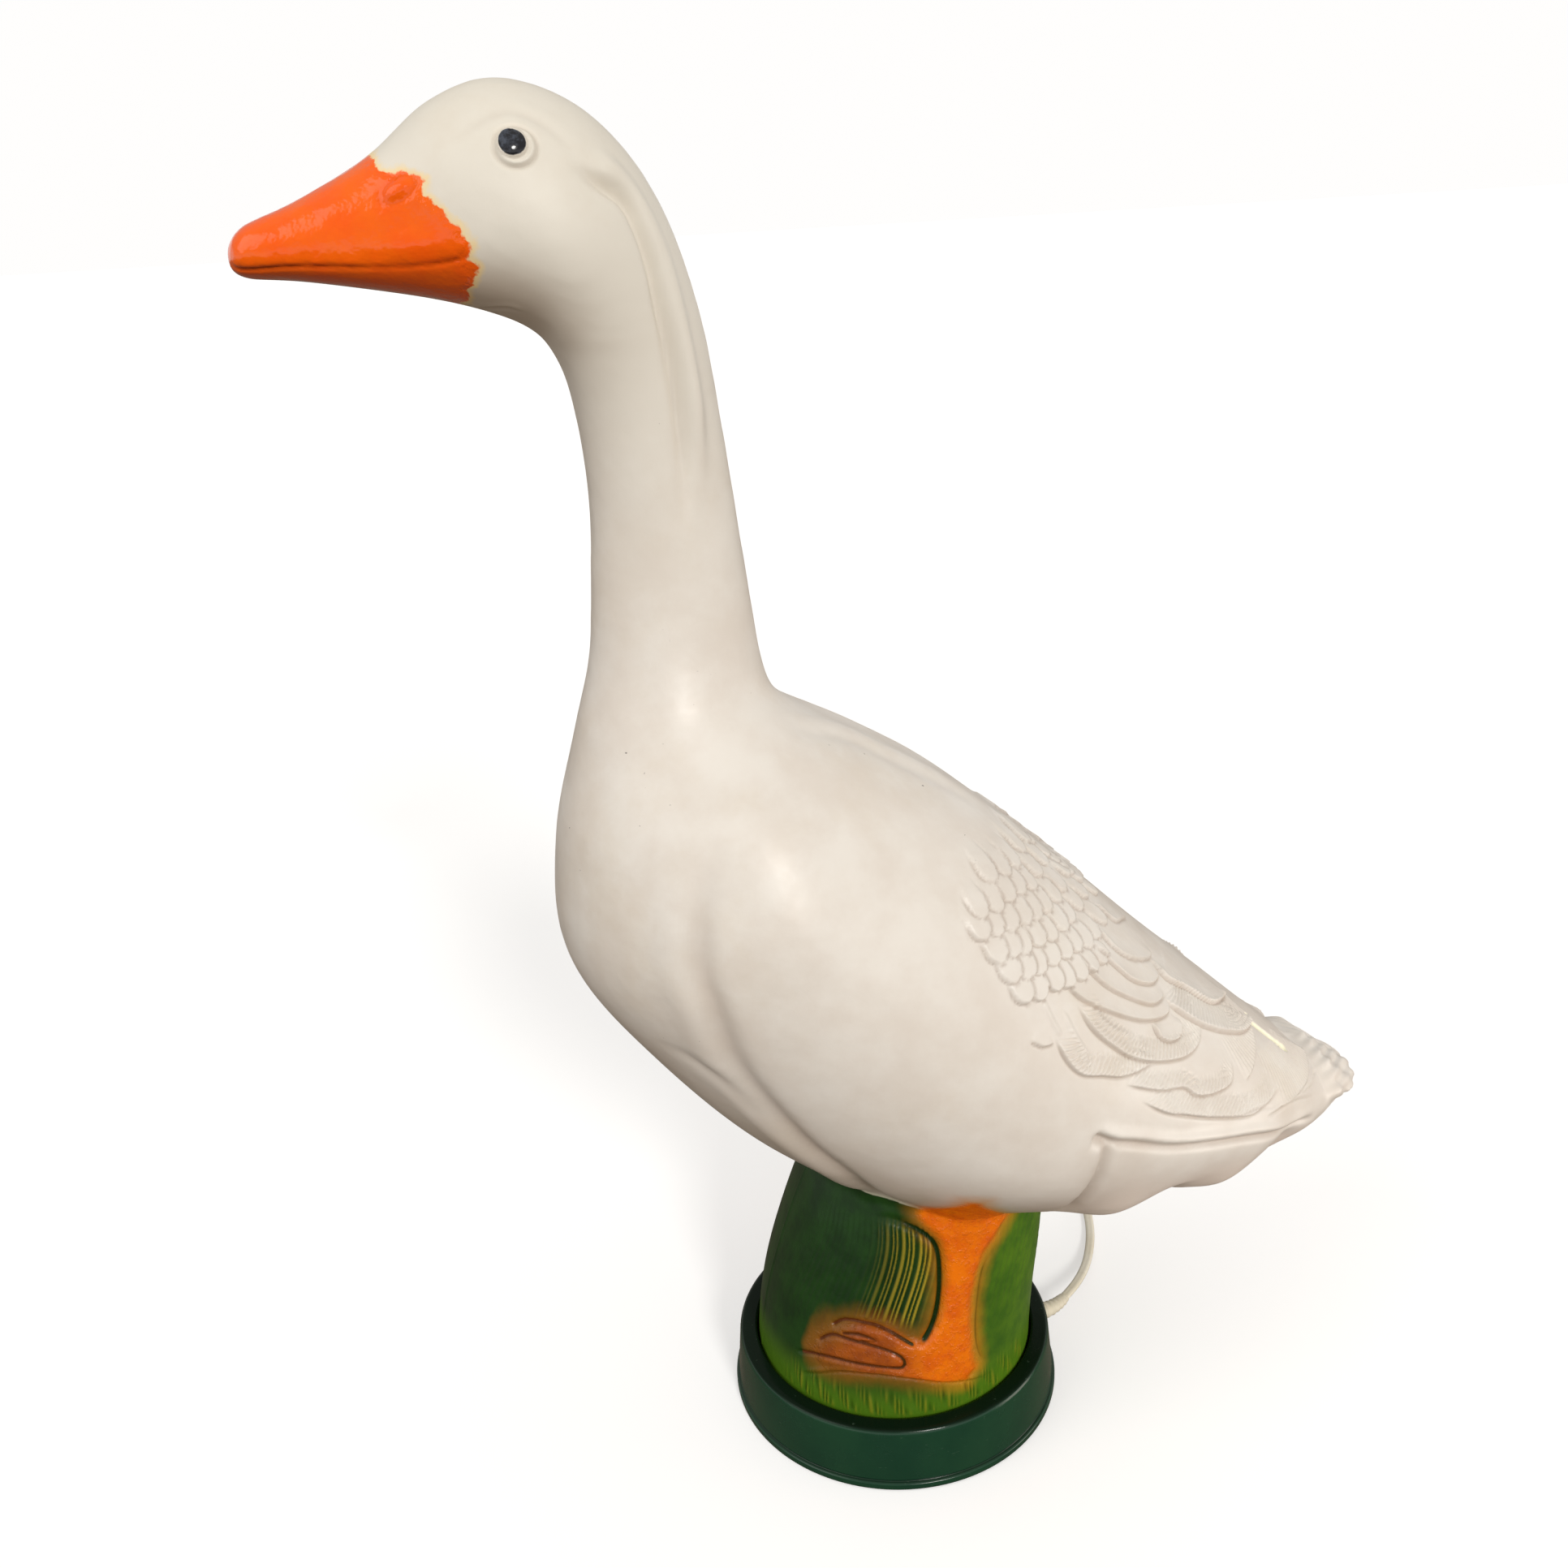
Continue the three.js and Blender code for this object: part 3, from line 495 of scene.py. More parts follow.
def slab(name, half_length, half_width, corner, levels, centre):
    """A flat body with round corners; levels are (inset, height) from the bottom up."""
    rings = []
    for inset, height in levels:
        radius = max(corner - inset, 0.2)
        ring = []
        for quarter, (sx, sy) in enumerate(((1, 1), (-1, 1), (-1, -1), (1, -1))):
            for turn in np.radians(np.linspace(0, 90, 9) + 90 * quarter):
                x = centre[0] + sx * (half_length - inset - radius) + radius * math.cos(turn)
                y = centre[1] + sy * (half_width - inset - radius) + radius * math.sin(turn)
                ring.append((x, y, height))
        rings.append(ring)
    return stack(name, rings)


def placed(obj, place=(0, 0, 0), degrees=0.0, axis="Z"):
    """Turns a piece's mesh about an axis through the origin, then moves it."""
    obj.data.transform(Matrix.Rotation(math.radians(degrees), 4, axis))
    obj.data.transform(Matrix.Translation(Vector(place) * MM))
    return obj


def circle(radius, count=20):
    return [(radius * math.cos(t), radius * math.sin(t)) for t in np.arange(count) * 2 * math.pi / count]


def polar(radius, degrees):
    turn = math.radians(degrees)
    return BASE_X + radius * math.cos(turn), radius * math.sin(turn)


def opal_paint():
    paint = moulded("opal", srgb(244, 242, 234), srgb(236, 232, 220), 0.12, grain=400, dust_and_shade=0.12)
    paint.set("Subsurface Weight", 0.3)
    paint.set("Subsurface Scale", 0.006)
    return paint


def ring_paint():
    """Glossy dark green, with painted shade that makes its flat top nearly black, scuffs, and a line of
    painted shade along the groove.
    """
    paint = Paint("ring", 0.2)
    z = paint.node("ShaderNodeSeparateXYZ", {"Vector": paint.place}).outputs["Z"]
    top = paint.step(z, 0.0338, 0.0353)
    tone = paint.cloudy(24, 5, 0.3, 0.7, srgb(16, 56, 38), srgb(24, 64, 42))
    # Painted shade: the flat top is painted nearly black for the dark room reflected in it.
    tone = paint.mix(top, tone, srgb(12, 28, 16))
    scuff = paint.step(paint.noise(260, 3, 0.5, stretch=(1, 1, 5)), 0.68, 0.76)
    tone = paint.mix(paint.times(scuff, 0.25), tone, srgb(96, 118, 100))
    # Painted shade: a dark line in the groove above the flange.
    dust_and_shade = paint.times(paint.step(z, 0.0062, 0.0052), paint.step(z, 0.0044, 0.005))
    paint.set("Base Color", paint.mix(paint.times(dust_and_shade, 0.5), tone, srgb(10, 16, 10)))
    cloud = paint.step(paint.noise(60, 5), 0.35, 0.7)
    paint.set("Roughness", paint.blend(cloud, 0.16, 0.3))
    paint.set("Specular IOR Level", paint.blend(top, 0.42, 0.1))
    paint.height(paint.noise(30, 3), 0.35)
    paint.height(paint.noise(900, 2), 0.02)
    return paint


PAINTS = {
    "base_green": ring_paint(),
    "ivory_flex": FLEX,
    "pad_rubber": moulded("rubber", srgb(34, 34, 34), srgb(22, 22, 22), 0.7, grain=2000),
    "zinc_steel": metal_paint("steel", srgb(164, 164, 160), srgb(116, 113, 106), 0.3),
    "brass": metal_paint("brass", srgb(190, 154, 84), srgb(128, 96, 48), 0.26),
    "nickel": metal_paint("nickel", srgb(204, 202, 194), srgb(150, 146, 136), 0.2),
    "opal_glass": opal_paint(),
    "black_plastic": moulded("bakelite", srgb(36, 32, 30), srgb(24, 22, 21), 0.3),
    "inner_white": moulded("porcelain", srgb(228, 224, 214), srgb(206, 200, 186), 0.22),
    "lead_brown": moulded("brown", srgb(94, 54, 34), srgb(74, 42, 26), 0.42),
    "lead_blue": moulded("blue", srgb(46, 92, 162), srgb(34, 74, 140), 0.42),
    "ivory_plastic": moulded("ivory", srgb(236, 229, 209), srgb(222, 212, 186), 0.34),
    "rocker_ivory": moulded("rocker", srgb(240, 234, 216), srgb(226, 217, 194), 0.26),
}


def settle(piece, body, slot, *nodes):
    """Gives a piece its paint, its body and the CAD nodes that it stands for."""
    give(piece, PAINTS[slot])
    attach(piece, body)
    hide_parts(*nodes)
    return piece


# ---------------------------------------------------------------- base

RING_PROFILE = [
    (85.6, 0.5), (89.4, 0.5), (90, 1.3), (90, 4.2), (89.2, 4.8), (88.2, 5), (88.2, 5.8), (88.6, 6.3),
    (86.2, 33.2), (85.3, 35), (83.8, 35.6), (77.4, 35.6), (76.6, 34.8), (76.6, 8.4), (78.6, 8.4),
    (78.6, 33.2), (83, 33.2), (86.2, 6), (85.6, 0.5),
]
SCREW_TURNS = (45, 135, 225, 315)
SCREW_CIRCLE = 82                    # how far the floor screws are from the middle of the base
FEET_CIRCLE = 68
SCREW_HOLE = 1.7                     # radius of the holes round screws
PLATE_HOLE = 1.75                    # the same, in the floor plate
EXIT_TURN = 2                        # degrees; the cord leaves the base nearly straight back
CLAMP_SCREWS = [(45, -6.2), (45, 9.8)]
BRACKET_SCREWS = [(BASE_X, -21), (BASE_X, 21)]
TERMINAL_Z = 29.4


def along_exit(obj):
    """A piece drawn up the Z axis, laid along the cord's way out of the base."""
    placed(obj, degrees=90, axis="Y")
    return placed(placed(obj, degrees=EXIT_TURN), (BASE_X, 0, EXIT_Z))


def screw(name, place, up, shank, head=3.0, radius=1.35):
    """A pan-head screw with a cross recess and a thread; up is whether its shank points up."""
    core = radius - 0.25
    profile = [(0, -1.9), (0.6 * head, -1.9), (0.88 * head, -1.5), (head, -0.8), (head, 0), (core, 0)]
    for z in np.arange(0.5, shank - 1.9, 0.9):
        profile += [(core, z), (radius, z + 0.3), (core, z + 0.6)]
    body = lathe(name, profile + [(core, shank - 1), (0, shank)], 32, (0, 0))
    arm, slot = 0.58 * head, 0.34
    carve(body, [block(-arm, arm, -slot, slot, -3, -1), block(-slot, slot, -arm, arm, -3, -1)])
    crisp(body)
    return placed(body, place, 0 if up else 180, "X")


def add_ring():
    ring = lathe("ring", rounded(RING_PROFILE, 0.8), 160)
    bosses = [disc(3.4, 7.8, 34, polar(SCREW_CIRCLE, turn)) for turn in SCREW_TURNS]
    carve(ring, bosses, "UNION")
    pilots = [disc(SCREW_HOLE, 0, 22, polar(SCREW_CIRCLE, turn), 16) for turn in SCREW_TURNS]
    opening = along_exit(disc(3.9, 80.6, 95, (0, 0)))
    notch = block(BASE_X + 60, BASE_X + 79.6, -6, 10, 0, 18)
    carve(ring, [*pilots, opening, notch])
    crisp(ring)
    settle(ring, "base", "base_green", "base_ring")


def add_floor_plate():
    """The plate under the goose, with two ribs underneath and posts for the cord clamp."""
    profile = [(0, 4.5), (39, 4.5), (39, 3), (41, 3), (41, 4.5), (57, 4.5), (57, 3), (59, 3), (59, 4.5),
               (84, 4.5), (84, 7.5), (0, 7.5)]
    plate = lathe("floor_plate", rounded(profile, 0.4), 128)
    carve(plate, [disc(3.2, 6.5, 14.45, place) for place in CLAMP_SCREWS], "UNION")
    places = [*(polar(SCREW_CIRCLE, turn) for turn in SCREW_TURNS), *CLAMP_SCREWS, *BRACKET_SCREWS]
    carve(plate, [disc(PLATE_HOLE, 0, 20, place, 16) for place in places])
    crisp(plate)
    settle(plate, "base", "base_green", "base_floor")
    for k, turn in enumerate(SCREW_TURNS):
        piece = screw(f"plate_screw_{k + 1}", (*polar(SCREW_CIRCLE, turn), 4.2), True, 15)
        settle(piece, "base", "zinc_steel", f"floor_screw_{k + 1}")
        profile = [(0, 0.5), (3, 0.5), (3.4, 0), (6.2, 0), (7, 0.9), (7.4, 4.2), (0, 4.2)]
        pad = lathe(f"rubber_foot_{k + 1}", rounded(profile, 0.5), 48, polar(FEET_CIRCLE, turn))
        settle(pad, "base", "pad_rubber", f"foot_pad_{k + 1}")


# ---------------------------------------------------------------- lampholder and bulb

THREAD_PITCH = 2.83


def thread(radius, depth, start, turns):
    """Profile points of rolled rings that stand for a screw thread."""
    points = []
    for k in range(turns):
        points += [(radius, start + k * THREAD_PITCH), (radius + depth, start + (k + 0.5) * THREAD_PITCH)]
    return points


def terminal_tool(side, radius, start, end):
    """What cuts a round hole sideways from the holder's axis, from start to end."""
    return placed(disc(radius, start, end, (0, 0), 24), (BASE_X, 0, TERMINAL_Z), -90 * side, "X")


def add_holder():
    """The strip that carries the lampholder, with its screws, and the holder on it."""
    half = [(12.5, 24), (12.5, 7.8), (25.5, 7.8), (25.5, 9.3), (14, 9.3), (14, 25.5)]
    outline = half + [(-x, z) for x, z in reversed(half)]
    strip = placed(extruded("holder_strip", outline, -6, 6), (BASE_X, 0, 0), 90)
    carve(strip, [disc(SCREW_HOLE, 0, 12, place, 16) for place in BRACKET_SCREWS])
    bevel(strip, 0.4)
    settle(strip, "base", "zinc_steel", "holder_bracket")
    for k, place in enumerate(BRACKET_SCREWS):
        piece = screw(f"strip_screw_{k + 1}", (*place, 9.6), False, 4.5, 2.8)
        settle(piece, "base", "zinc_steel", f"bracket_screw_{k + 1}")
    add_holder_body()
    add_holder_contacts()


def add_holder_body():
    """The white core and the fluted black sleeve round it."""
    core = lathe("holder_core", rounded([(0, 25.8), (11.4, 25.8), (11.4, 33), (0, 33)], 0.8), 64)
    carve(core, [terminal_tool(side, 2, 7, 14) for side in (-1, 1)])
    crisp(core)
    settle(core, "base", "inner_white", "holder_base")
    profile = [(11.8, 25.8), (13.5, 25.8), (13.5, 27), (13, 28), (13, 55), (13.5, 56), (13.5, 58), (10.9, 58),
               (10.9, 56), (11.8, 56), (11.8, 25.8)]
    sleeve = lathe("holder_skirt", rounded(profile, 0.4), 144)
    flute(sleeve, 12.8, 33, 53)
    carve(sleeve, [terminal_tool(side, 2.6, 8, 18) for side in (-1, 1)])
    crisp(sleeve)
    settle(sleeve, "base", "black_plastic", "holder_sleeve")


def add_holder_contacts():
    """The screw shell, the leaf that touches the bulb's tip, and the two terminal screws."""
    outside = [(7.3, 33.3), (8.1, 33.3), *thread(8.1, 0.5, 45, 3), (8.1, 53.49)]
    inside = [(7.3, 53.49), *[(r, z) for r, z in reversed(thread(7.3, 0.5, 45, 3))], (7.3, 33.3)]
    shell = lathe("thread_shell", rounded(outside + inside, 0.7), 64)
    settle(shell, "base", "brass", "holder_thread")
    outline = [(-5.5, 33.3), (-1, 33.3), (5, 34.3), (5, 34.7), (-1, 33.7), (-5.5, 33.7)]
    leaf = extruded("contact_leaf", outline, -1.8, 1.8)
    bevel(leaf, 0.12, 2, 20)
    settle(placed(leaf, (BASE_X, 0, 0)), "base", "brass", "holder_contact")
    for k, side in enumerate((-1, 1)):
        post = lathe("post", [(0, 7.3), (1.6, 7.3), (1.6, 10.9), (1.4, 11.2), (0, 11.2)], 24, (0, 0))
        carve(post, [block(-0.3, 0.3, -3, 3, 10.6, 12)])
        crisp(post)
        post.name = f"terminal_post_{k + 1}"
        placed(post, (BASE_X, 0, TERMINAL_Z), -90 * side, "X")
        settle(post, "base", "brass", f"terminal_screw_{k + 1}")


def flute(obj, least, z0, z1, count=36, depth=0.35):
    """Presses upright grooves into the outside of a turned piece."""
    for vertex in obj.data.vertices:
        x, y, z = vertex.co / MM
        radius = math.hypot(x - BASE_X, y)
        if radius > least and z0 <= z <= z1:
            wave = 0.5 + 0.5 * math.cos(count * math.atan2(y, x - BASE_X))
            share = 1 - depth * wave / radius
            vertex.co = Vector((BASE_X + (x - BASE_X) * share, y * share, z)) * MM


def globe_profile(radius, steps=28):
    """Half a sphere's outline from the neck to the top."""
    angles = np.linspace(-1.02, math.pi / 2, steps)
    return [(max(radius * math.cos(a), 0), 88 + radius * math.sin(a)) for a in angles]


def add_bulb():
    cap = [(3.7, 37.2), (6.1, 39.6), *thread(6.1, 0.6, 40, 4), (6.1, 51.6), (6.7, 53), (7, 54), (6.2, 54),
           (5.3, 52), (5.3, 40.2), (3.7, 37.8), (3.7, 37.2)]
    settle(lathe("cap", rounded(cap, 0.7), 64), "bulb", "nickel", "bulb_cap")
    glass = [(4.9, 48), (4.9, 55), *globe_profile(22.5), *reversed(globe_profile(21.6)), (4, 55), (4, 48),
             (4.9, 48)]
    settle(lathe("globe", glass, 64), "bulb", "opal_glass", "bulb_glass")
    bead = [(0, 36.4), (2.4, 36.4), (3.4, 37.8), (0, 37.8)]
    settle(lathe("glass_bead", rounded(bead, 0.4), 32), "bulb", "black_plastic", "bulb_insulator")
    drop = [(0, 35.3), (0.9, 35.35), (1.6, 35.7), (1.8, 36.1), (0, 36.1)]
    settle(lathe("solder_drop", rounded(drop, 0.2), 32), "bulb", "nickel", "bulb_tip")


# ---------------------------------------------------------------- cord inside the base, clamp and relief

RELIEF_RIB = 3.4                     # distance between the ribs of a strain relief
RELIEF_RING = 0.4                    # distance between the rings of its mesh


def relief_sleeve(name, path, start, end, ribbed_from):
    """A ribbed sleeve along the path that tapers from (half width, half height) start to end."""
    even = np.arange(0, lengths_along(path)[-1], RELIEF_RING)
    fine = points_at(path, even)
    share = (even / even[-1])[:, None]
    sizes = (1 - share) * np.array(start) + share * np.array(end)
    ribs = 0.22 * np.cos(even * 2 * math.pi / RELIEF_RIB) * ease(even, ribbed_from, ribbed_from + 1)
    sizes += (ribs * ease(even[-1] - even, 0, 2))[:, None]
    return sweep(name, fine, circle(1, 28), sizes)


def add_exit(way_out):
    """The part of the cord inside the base, its clamp, and the strain relief that way_out runs through."""
    exit_line = np.array([(*polar(r, EXIT_TURN), EXIT_Z) for r in (44, 80.6)])
    settle(sweep("inner_flex", exit_line, flex_outline()), "base", "ivory_flex", "cord_inside")
    washer = along_exit(lathe("washer", rounded([(0, 81), (4.8, 81), (4.8, 84), (0, 84)], 0.5), 40, (0, 0)))
    neck = along_exit(disc(3.6, 83.5, 90.5, (0, 0), 40))
    start = np.array([(*polar(r, EXIT_TURN), EXIT_Z) for r in (90, 94)])
    sleeve = relief_sleeve("sleeve", np.vstack([start, way_out]), (5, 4.6), (3.3, 2.3), 2)
    settle(joined("strain_relief", [washer, neck, sleeve]), "base", "ivory_plastic", "cord_grommet")

    add_cores()
    add_clamp()


def add_cores():
    """The brown and the blue core, from the end of the flex up to the terminal screws."""
    for name, node, slot, side in (("core_brown", "lead_live", "lead_brown", 1),
                                   ("core_blue", "lead_neutral", "lead_blue", -1)):
        points = [(36.7, 1.5 + side * 1.4, EXIT_Z), (28.7, 1.3 + side * 3, EXIT_Z + 1),
                  (17, side * 12, EXIT_Z + 7), (6, side * 19, TERMINAL_Z - 4),
                  (-3, side * 19, TERMINAL_Z - 1), (-6, side * 17, TERMINAL_Z),
                  (BASE_X, side * 14.6, TERMINAL_Z)]
        settle(sweep(name, spline(points, 1.5), circle(1.1)), "base", slot, node)


def add_clamp():
    bar = slab("cord_clamp", 4, 12.4, 2.5, [(0.4, 14.75), (0, 15.1), (0, 17.2), (0.6, 17.75)], (45, 1.8))
    carve(bar, [disc(1.8, 10, 22, place, 16) for place in CLAMP_SCREWS])
    crisp(bar)
    settle(bar, "base", "inner_white", "clamp_bar")
    for k, place in enumerate(CLAMP_SCREWS):
        piece = screw(f"bar_screw_{k + 1}", (*place, 18.05), False, 11)
        settle(piece, "base", "zinc_steel", f"clamp_screw_{k + 1}")


# ---------------------------------------------------------------- coil tie, switch and plug

SWITCH = (73, 242)
SWITCH_SIZE = (32, 11, 7)            # half length, half width, radius of the corners
ROCKER_PIVOT = (*SWITCH, 12.2)
ROCKER_REST = -11                    # degrees
PIVOT_HOLE = 1.3
SWITCH_SCREWS = [(51, 235.5), (95, 235.5)]
PLUG_FACE = (136, 144, 7.2)          # front of the plug's body, between its pins
PIN_Y = 9.5                          # how far each pin is from the middle of the plug
PLUG_PINS = (
    ("pin_sleeve", "plug_sleeve", "black_plastic",
     [(0, -7.7), (1.95, -7.7), (1.95, 9.9), (1.85, 10), (0, 10)]),
    ("pin_tip", "plug_pin", "brass",
     [(0, 10.3), (2, 10.3), (2, 18), (1.7, 18.7), (1.1, 19), (0, 19)]),
)


def add_tie():
    """A flat strap round the coil, with its lock on top."""
    middle, height = (COIL_TIE_IN + COIL_TIE_OUT) / 2, 4.45
    rings = []
    for wall in (0, 0.5):
        half = ((COIL_TIE_OUT - COIL_TIE_IN) / 2 - wall, 4.35 - wall)
        turns = np.arange(64) * 2 * math.pi / 64
        across = [half[0] * np.sign(math.cos(t)) * abs(math.cos(t)) ** 0.25 for t in turns]
        up = [half[1] * np.sign(math.sin(t)) * abs(math.sin(t)) ** 0.25 for t in turns]
        rings.append([(middle + a, height + b) for a, b in zip(across, up)])
    outer, inner = rings
    corners = ((outer, -3.5), (outer, 3.5), (inner, 3.5), (inner, -3.5), (outer, -3.5))
    points = [(x, y, z) for outline, y in corners for x, z in outline]
    strap = make_object("strap", points, grid_faces(len(corners), 64))
    face_outwards(strap)
    lock = slab("lock", 2.6, 3.6, 0.8, [(0.2, 8.75), (0, 9), (0, 10.6), (0.5, 11)], (middle + 3, 0))
    tie = joined("cord_tie", [strap, lock])
    crisp(tie)
    placed(tie, (COIL["x"], COIL["y"], 0), 25)
    return settle(tie, "base", "ivory_plastic", "coil_tie")


def add_switch_halves():
    x, y = SWITCH
    levels = [(1.2, 0.3), (0.3, 0.8), (0, 1.8), (0, 7.1), (0.25, 7.4)]
    lower = slab("switch_base", *SWITCH_SIZE, levels, SWITCH)
    channels = block(x - 60, x + 60, y - 3.1, y + 3.1, 3.9, 9)
    screw_holes = [disc(SCREW_HOLE, -1, 12, place, 16) for place in SWITCH_SCREWS]
    sinks = [disc(2.9, -1, 2.6, place, 24) for place in SWITCH_SCREWS]
    carve(lower, [block(x - 17, x + 17, y - 7, y + 7, 2.3, 9), channels, *screw_holes, *sinks])
    crisp(lower)

    levels = [(0.25, 7.7), (0, 8), (0, 10.4), (0.4, 12), (1.2, 13.2), (2.4, 14.1), (3.9, 14.5), (5, 14.6)]
    upper = slab("switch_cover", *SWITCH_SIZE, levels, SWITCH)
    window = block(x - 8.5, x + 8.5, y - 5, y + 5, 0, 30)
    channels = block(x - 60, x + 60, y - 3.1, y + 3.1, 0, 8.6)
    pin_hole = placed(disc(PIVOT_HOLE, -8, 8, (0, 0)), ROCKER_PIVOT, 90, "X")
    pilots = [disc(SCREW_HOLE, 0, 12.5, place, 16) for place in SWITCH_SCREWS]
    grips = [block(x + side * (20 + 2.4 * k) - 0.4, x + side * (20 + 2.4 * k) + 0.4, y - 6, y + 6, 14.2, 16)
             for side in (-1, 1) for k in range(3)]
    carve(upper, [window, channels, pin_hole, *pilots, *grips])
    crisp(upper)
    return [settle(lower, "base", "ivory_plastic", "switch_bottom"),
            settle(upper, "base", "ivory_plastic", "switch_top")]


def add_rocker():
    """The rocker, with three grooves at one end, and the pin that it turns on."""
    outline = [(-7.5, 0.2)]
    outline += [(4.2 * math.cos(a), 4.2 * math.sin(a)) for a in np.radians(range(210, 331, 15))]
    outline += [(7.5, 0.2), (6.9, 4.2), (5, 4.02), (3, 3.6), (0, 3), (-3, 3.6), (-5, 4.02), (-6.9, 4.2)]
    rocker = extruded("rocker", outline, -4.5, 4.5)
    bevel(rocker, 0.35)
    carve(rocker, [placed(disc(PIVOT_HOLE, -8, 8, (0, 0)), degrees=90, axis="X")])
    carve(rocker, [block(4.4 + 0.9 * k, 4.8 + 0.9 * k, -2.5, 2.5, 3.7, 5) for k in range(3)])
    crisp(rocker)
    placed(rocker, ROCKER_PIVOT, ROCKER_REST, "Y")
    settle(rocker, "rocker", "rocker_ivory", "switch_rocker")
    pin = lathe("rocker_pin", rounded([(0, -7.6), (1, -7.6), (1, 7.6), (0, 7.6)], 0.2), 24, (0, 0))
    settle(placed(pin, ROCKER_PIVOT, 90, "X"), "base", "zinc_steel", "switch_pin")
    return rocker


def add_switch_inside():
    """The two screws that hold the halves together, and the two contacts."""
    x, y = SWITCH
    for k, place in enumerate(SWITCH_SCREWS):
        piece = screw(f"cover_screw_{k + 1}", (*place, 2.3), True, 9, 2.5, 1.3)
        settle(piece, "base", "zinc_steel", f"switch_screw_{k + 1}")
        middle = (x + 11 * (2 * k - 1), y)
        levels = [(0.2, 2.6), (0, 2.8), (0, 6.2), (0.2, 6.4)]
        brass = slab(f"switch_contact_{k + 1}", 4, 3, 0.6, levels, middle)
        carve(brass, [disc(1.1, 4.5, 7, middle, 24)])
        crisp(brass)
        settle(brass, "base", "brass", f"switch_terminal_{k + 1}")


def add_switch():
    """The in-line switch; only the pieces that the cord carries are handed back."""
    pieces = [*add_switch_halves(), add_rocker()]
    add_switch_inside()
    return pieces


def add_plug(way_in):
    """A flat six-sided plug; way_in is the end of the cord's path, which its relief sleeve covers."""
    x, y, z = PLUG_FACE
    half = 17.65
    outline = [(x - 30, 5.5), (x - 21, half - 2), (x - 16, half), (x - 3, half), (x, half - 3)]
    outline += [(px, -py) for px, py in reversed(outline)]
    rings = []
    for inset, level in ((1.6, -6.85), (0.5, -6.4), (0, -5.2), (0, 5.2), (0.5, 6.4), (1.6, 6.85)):
        share = 1 - inset / half
        rings.append([(x - 15 + (px - x + 15) * share, y + py * share, z + level) for px, py in outline])
    body = stack("body", rings)
    bevel(body, 0.7, 2, 25)
    sockets = [placed(disc(2.3, -8, 1, (0, 0)), (x, y + side * PIN_Y, z), 90, "Y") for side in (-1, 1)]
    grips = [block(x - 14 + 3 * k, x - 13 + 3 * k, y - 11, y + 11, z + 6.45, z + 9) for k in range(3)]
    carve(body, [*sockets, *grips])
    crisp(body)
    back = np.array([(x - 26, y, z), (x - 30, y, z), (x - 48, y, z)])
    sleeve = relief_sleeve("sleeve", np.vstack([back, way_in[::-1]]), (6.2, 5.4), (3.3, 2.3), 4)
    pieces = [settle(joined("plug_shell", [body, sleeve]), "base", "ivory_plastic", "plug_body")]
    for k, side in enumerate((-1, 1)):
        for name, node, slot, profile in PLUG_PINS:
            pin = lathe(f"{name}_{k + 1}", rounded(profile, 0.25), 32, (0, 0))
            placed(pin, (x, y + side * PIN_Y, z), 90, "Y")
            pieces.append(settle(pin, "base", slot, f"{node}_{k + 1}"))
    return pieces


add_ring()
add_floor_plate()
add_holder()
add_bulb()
add_exit(way_out)
on_cord = [add_tie(), *add_switch(), *add_plug(way_in)]


# ---------------------------------------------------------------- goose: smooth shape

# The same sections as in the CAD: upper outline (x, z), lower outline (x, z), half width, how far down
# the widest point is and the exponent of the side's roundness.
GOOSE_SECTIONS = [
    (-261, 614, -261, 607, 5, 0.5, 1),           # tip of the beak
    (-254, 622, -256, 603, 15, 0.6, 0.8),
    (-233, 630, -231, 600, 22, 0.7, 0.82),       # nostrils
    (-203, 645, -185, 591, 31, 0.68, 0.88),      # root of the beak
    (-177, 664, -157, 582, 40, 0.6, 1),          # eyes
    (-149, 671, -144, 574, 43, 0.56, 1),         # crown
    (-117, 658, -139, 566, 42, 0.55, 1),         # nape
    (-92, 627, -135, 555, 37, 0.53, 1),
    (-77, 582, -132, 532, 30, 0.5, 1),           # top of the neck
    (-70, 530, -131, 502, 28, 0.5, 1),
    (-64, 470, -134, 466, 30, 0.5, 1),
    (-58, 420, -138, 434, 37, 0.5, 1),           # foot of the neck
    (-46, 404, -148, 400, 50, 0.5, 1),
    (-15, 386, -162, 348, 77, 0.5, 1),           # shoulders
    (23, 361, -163, 294, 96, 0.5, 1),
    (61, 329, -133, 242, 107, 0.5, 1),           # breast
    (97, 295, -83, 184, 111, 0.5, 1),
    (135, 258, -21, 144, 109, 0.5, 1),           # middle of the back
    (171, 225, 55, 125, 97, 0.48, 1),
    (202, 196, 123, 122, 80, 0.45, 1),           # thighs
    (226, 175, 167, 119, 60, 0.42, 1),
    (239, 164, 190, 124, 47, 0.4, 1),            # vent
    (247, 157, 211, 129, 37, 0.4, 1),
    (254, 152, 230, 137, 29, 0.4, 1),            # tail
    (259, 149, 245, 140, 22, 0.45, 1),
    (261, 147, 257, 142, 13, 0.5, 1),
]
COLUMN_SECTIONS = [
    (-82.6, FOOT_Z, 68.6, FOOT_Z, 75.6, 0.5, 1),
    (-82.4, 36, 68.4, 36, 75.4, 0.5, 1),
    (-78, 68, 71, 68, 73.5, 0.5, 1),
    (-69, 100, 75, 100, 70, 0.5, 1),
    (-56, 135, 78, 135, 65, 0.5, 1),
    (-40, 168, 80, 168, 58, 0.5, 1),             # inside the belly
]
HOLLOW = slice(4, 22)                # the sections of the goose that are hollow
INNER_INSET = 12.0                   # deeper than the grooves, so that none of them opens the wall


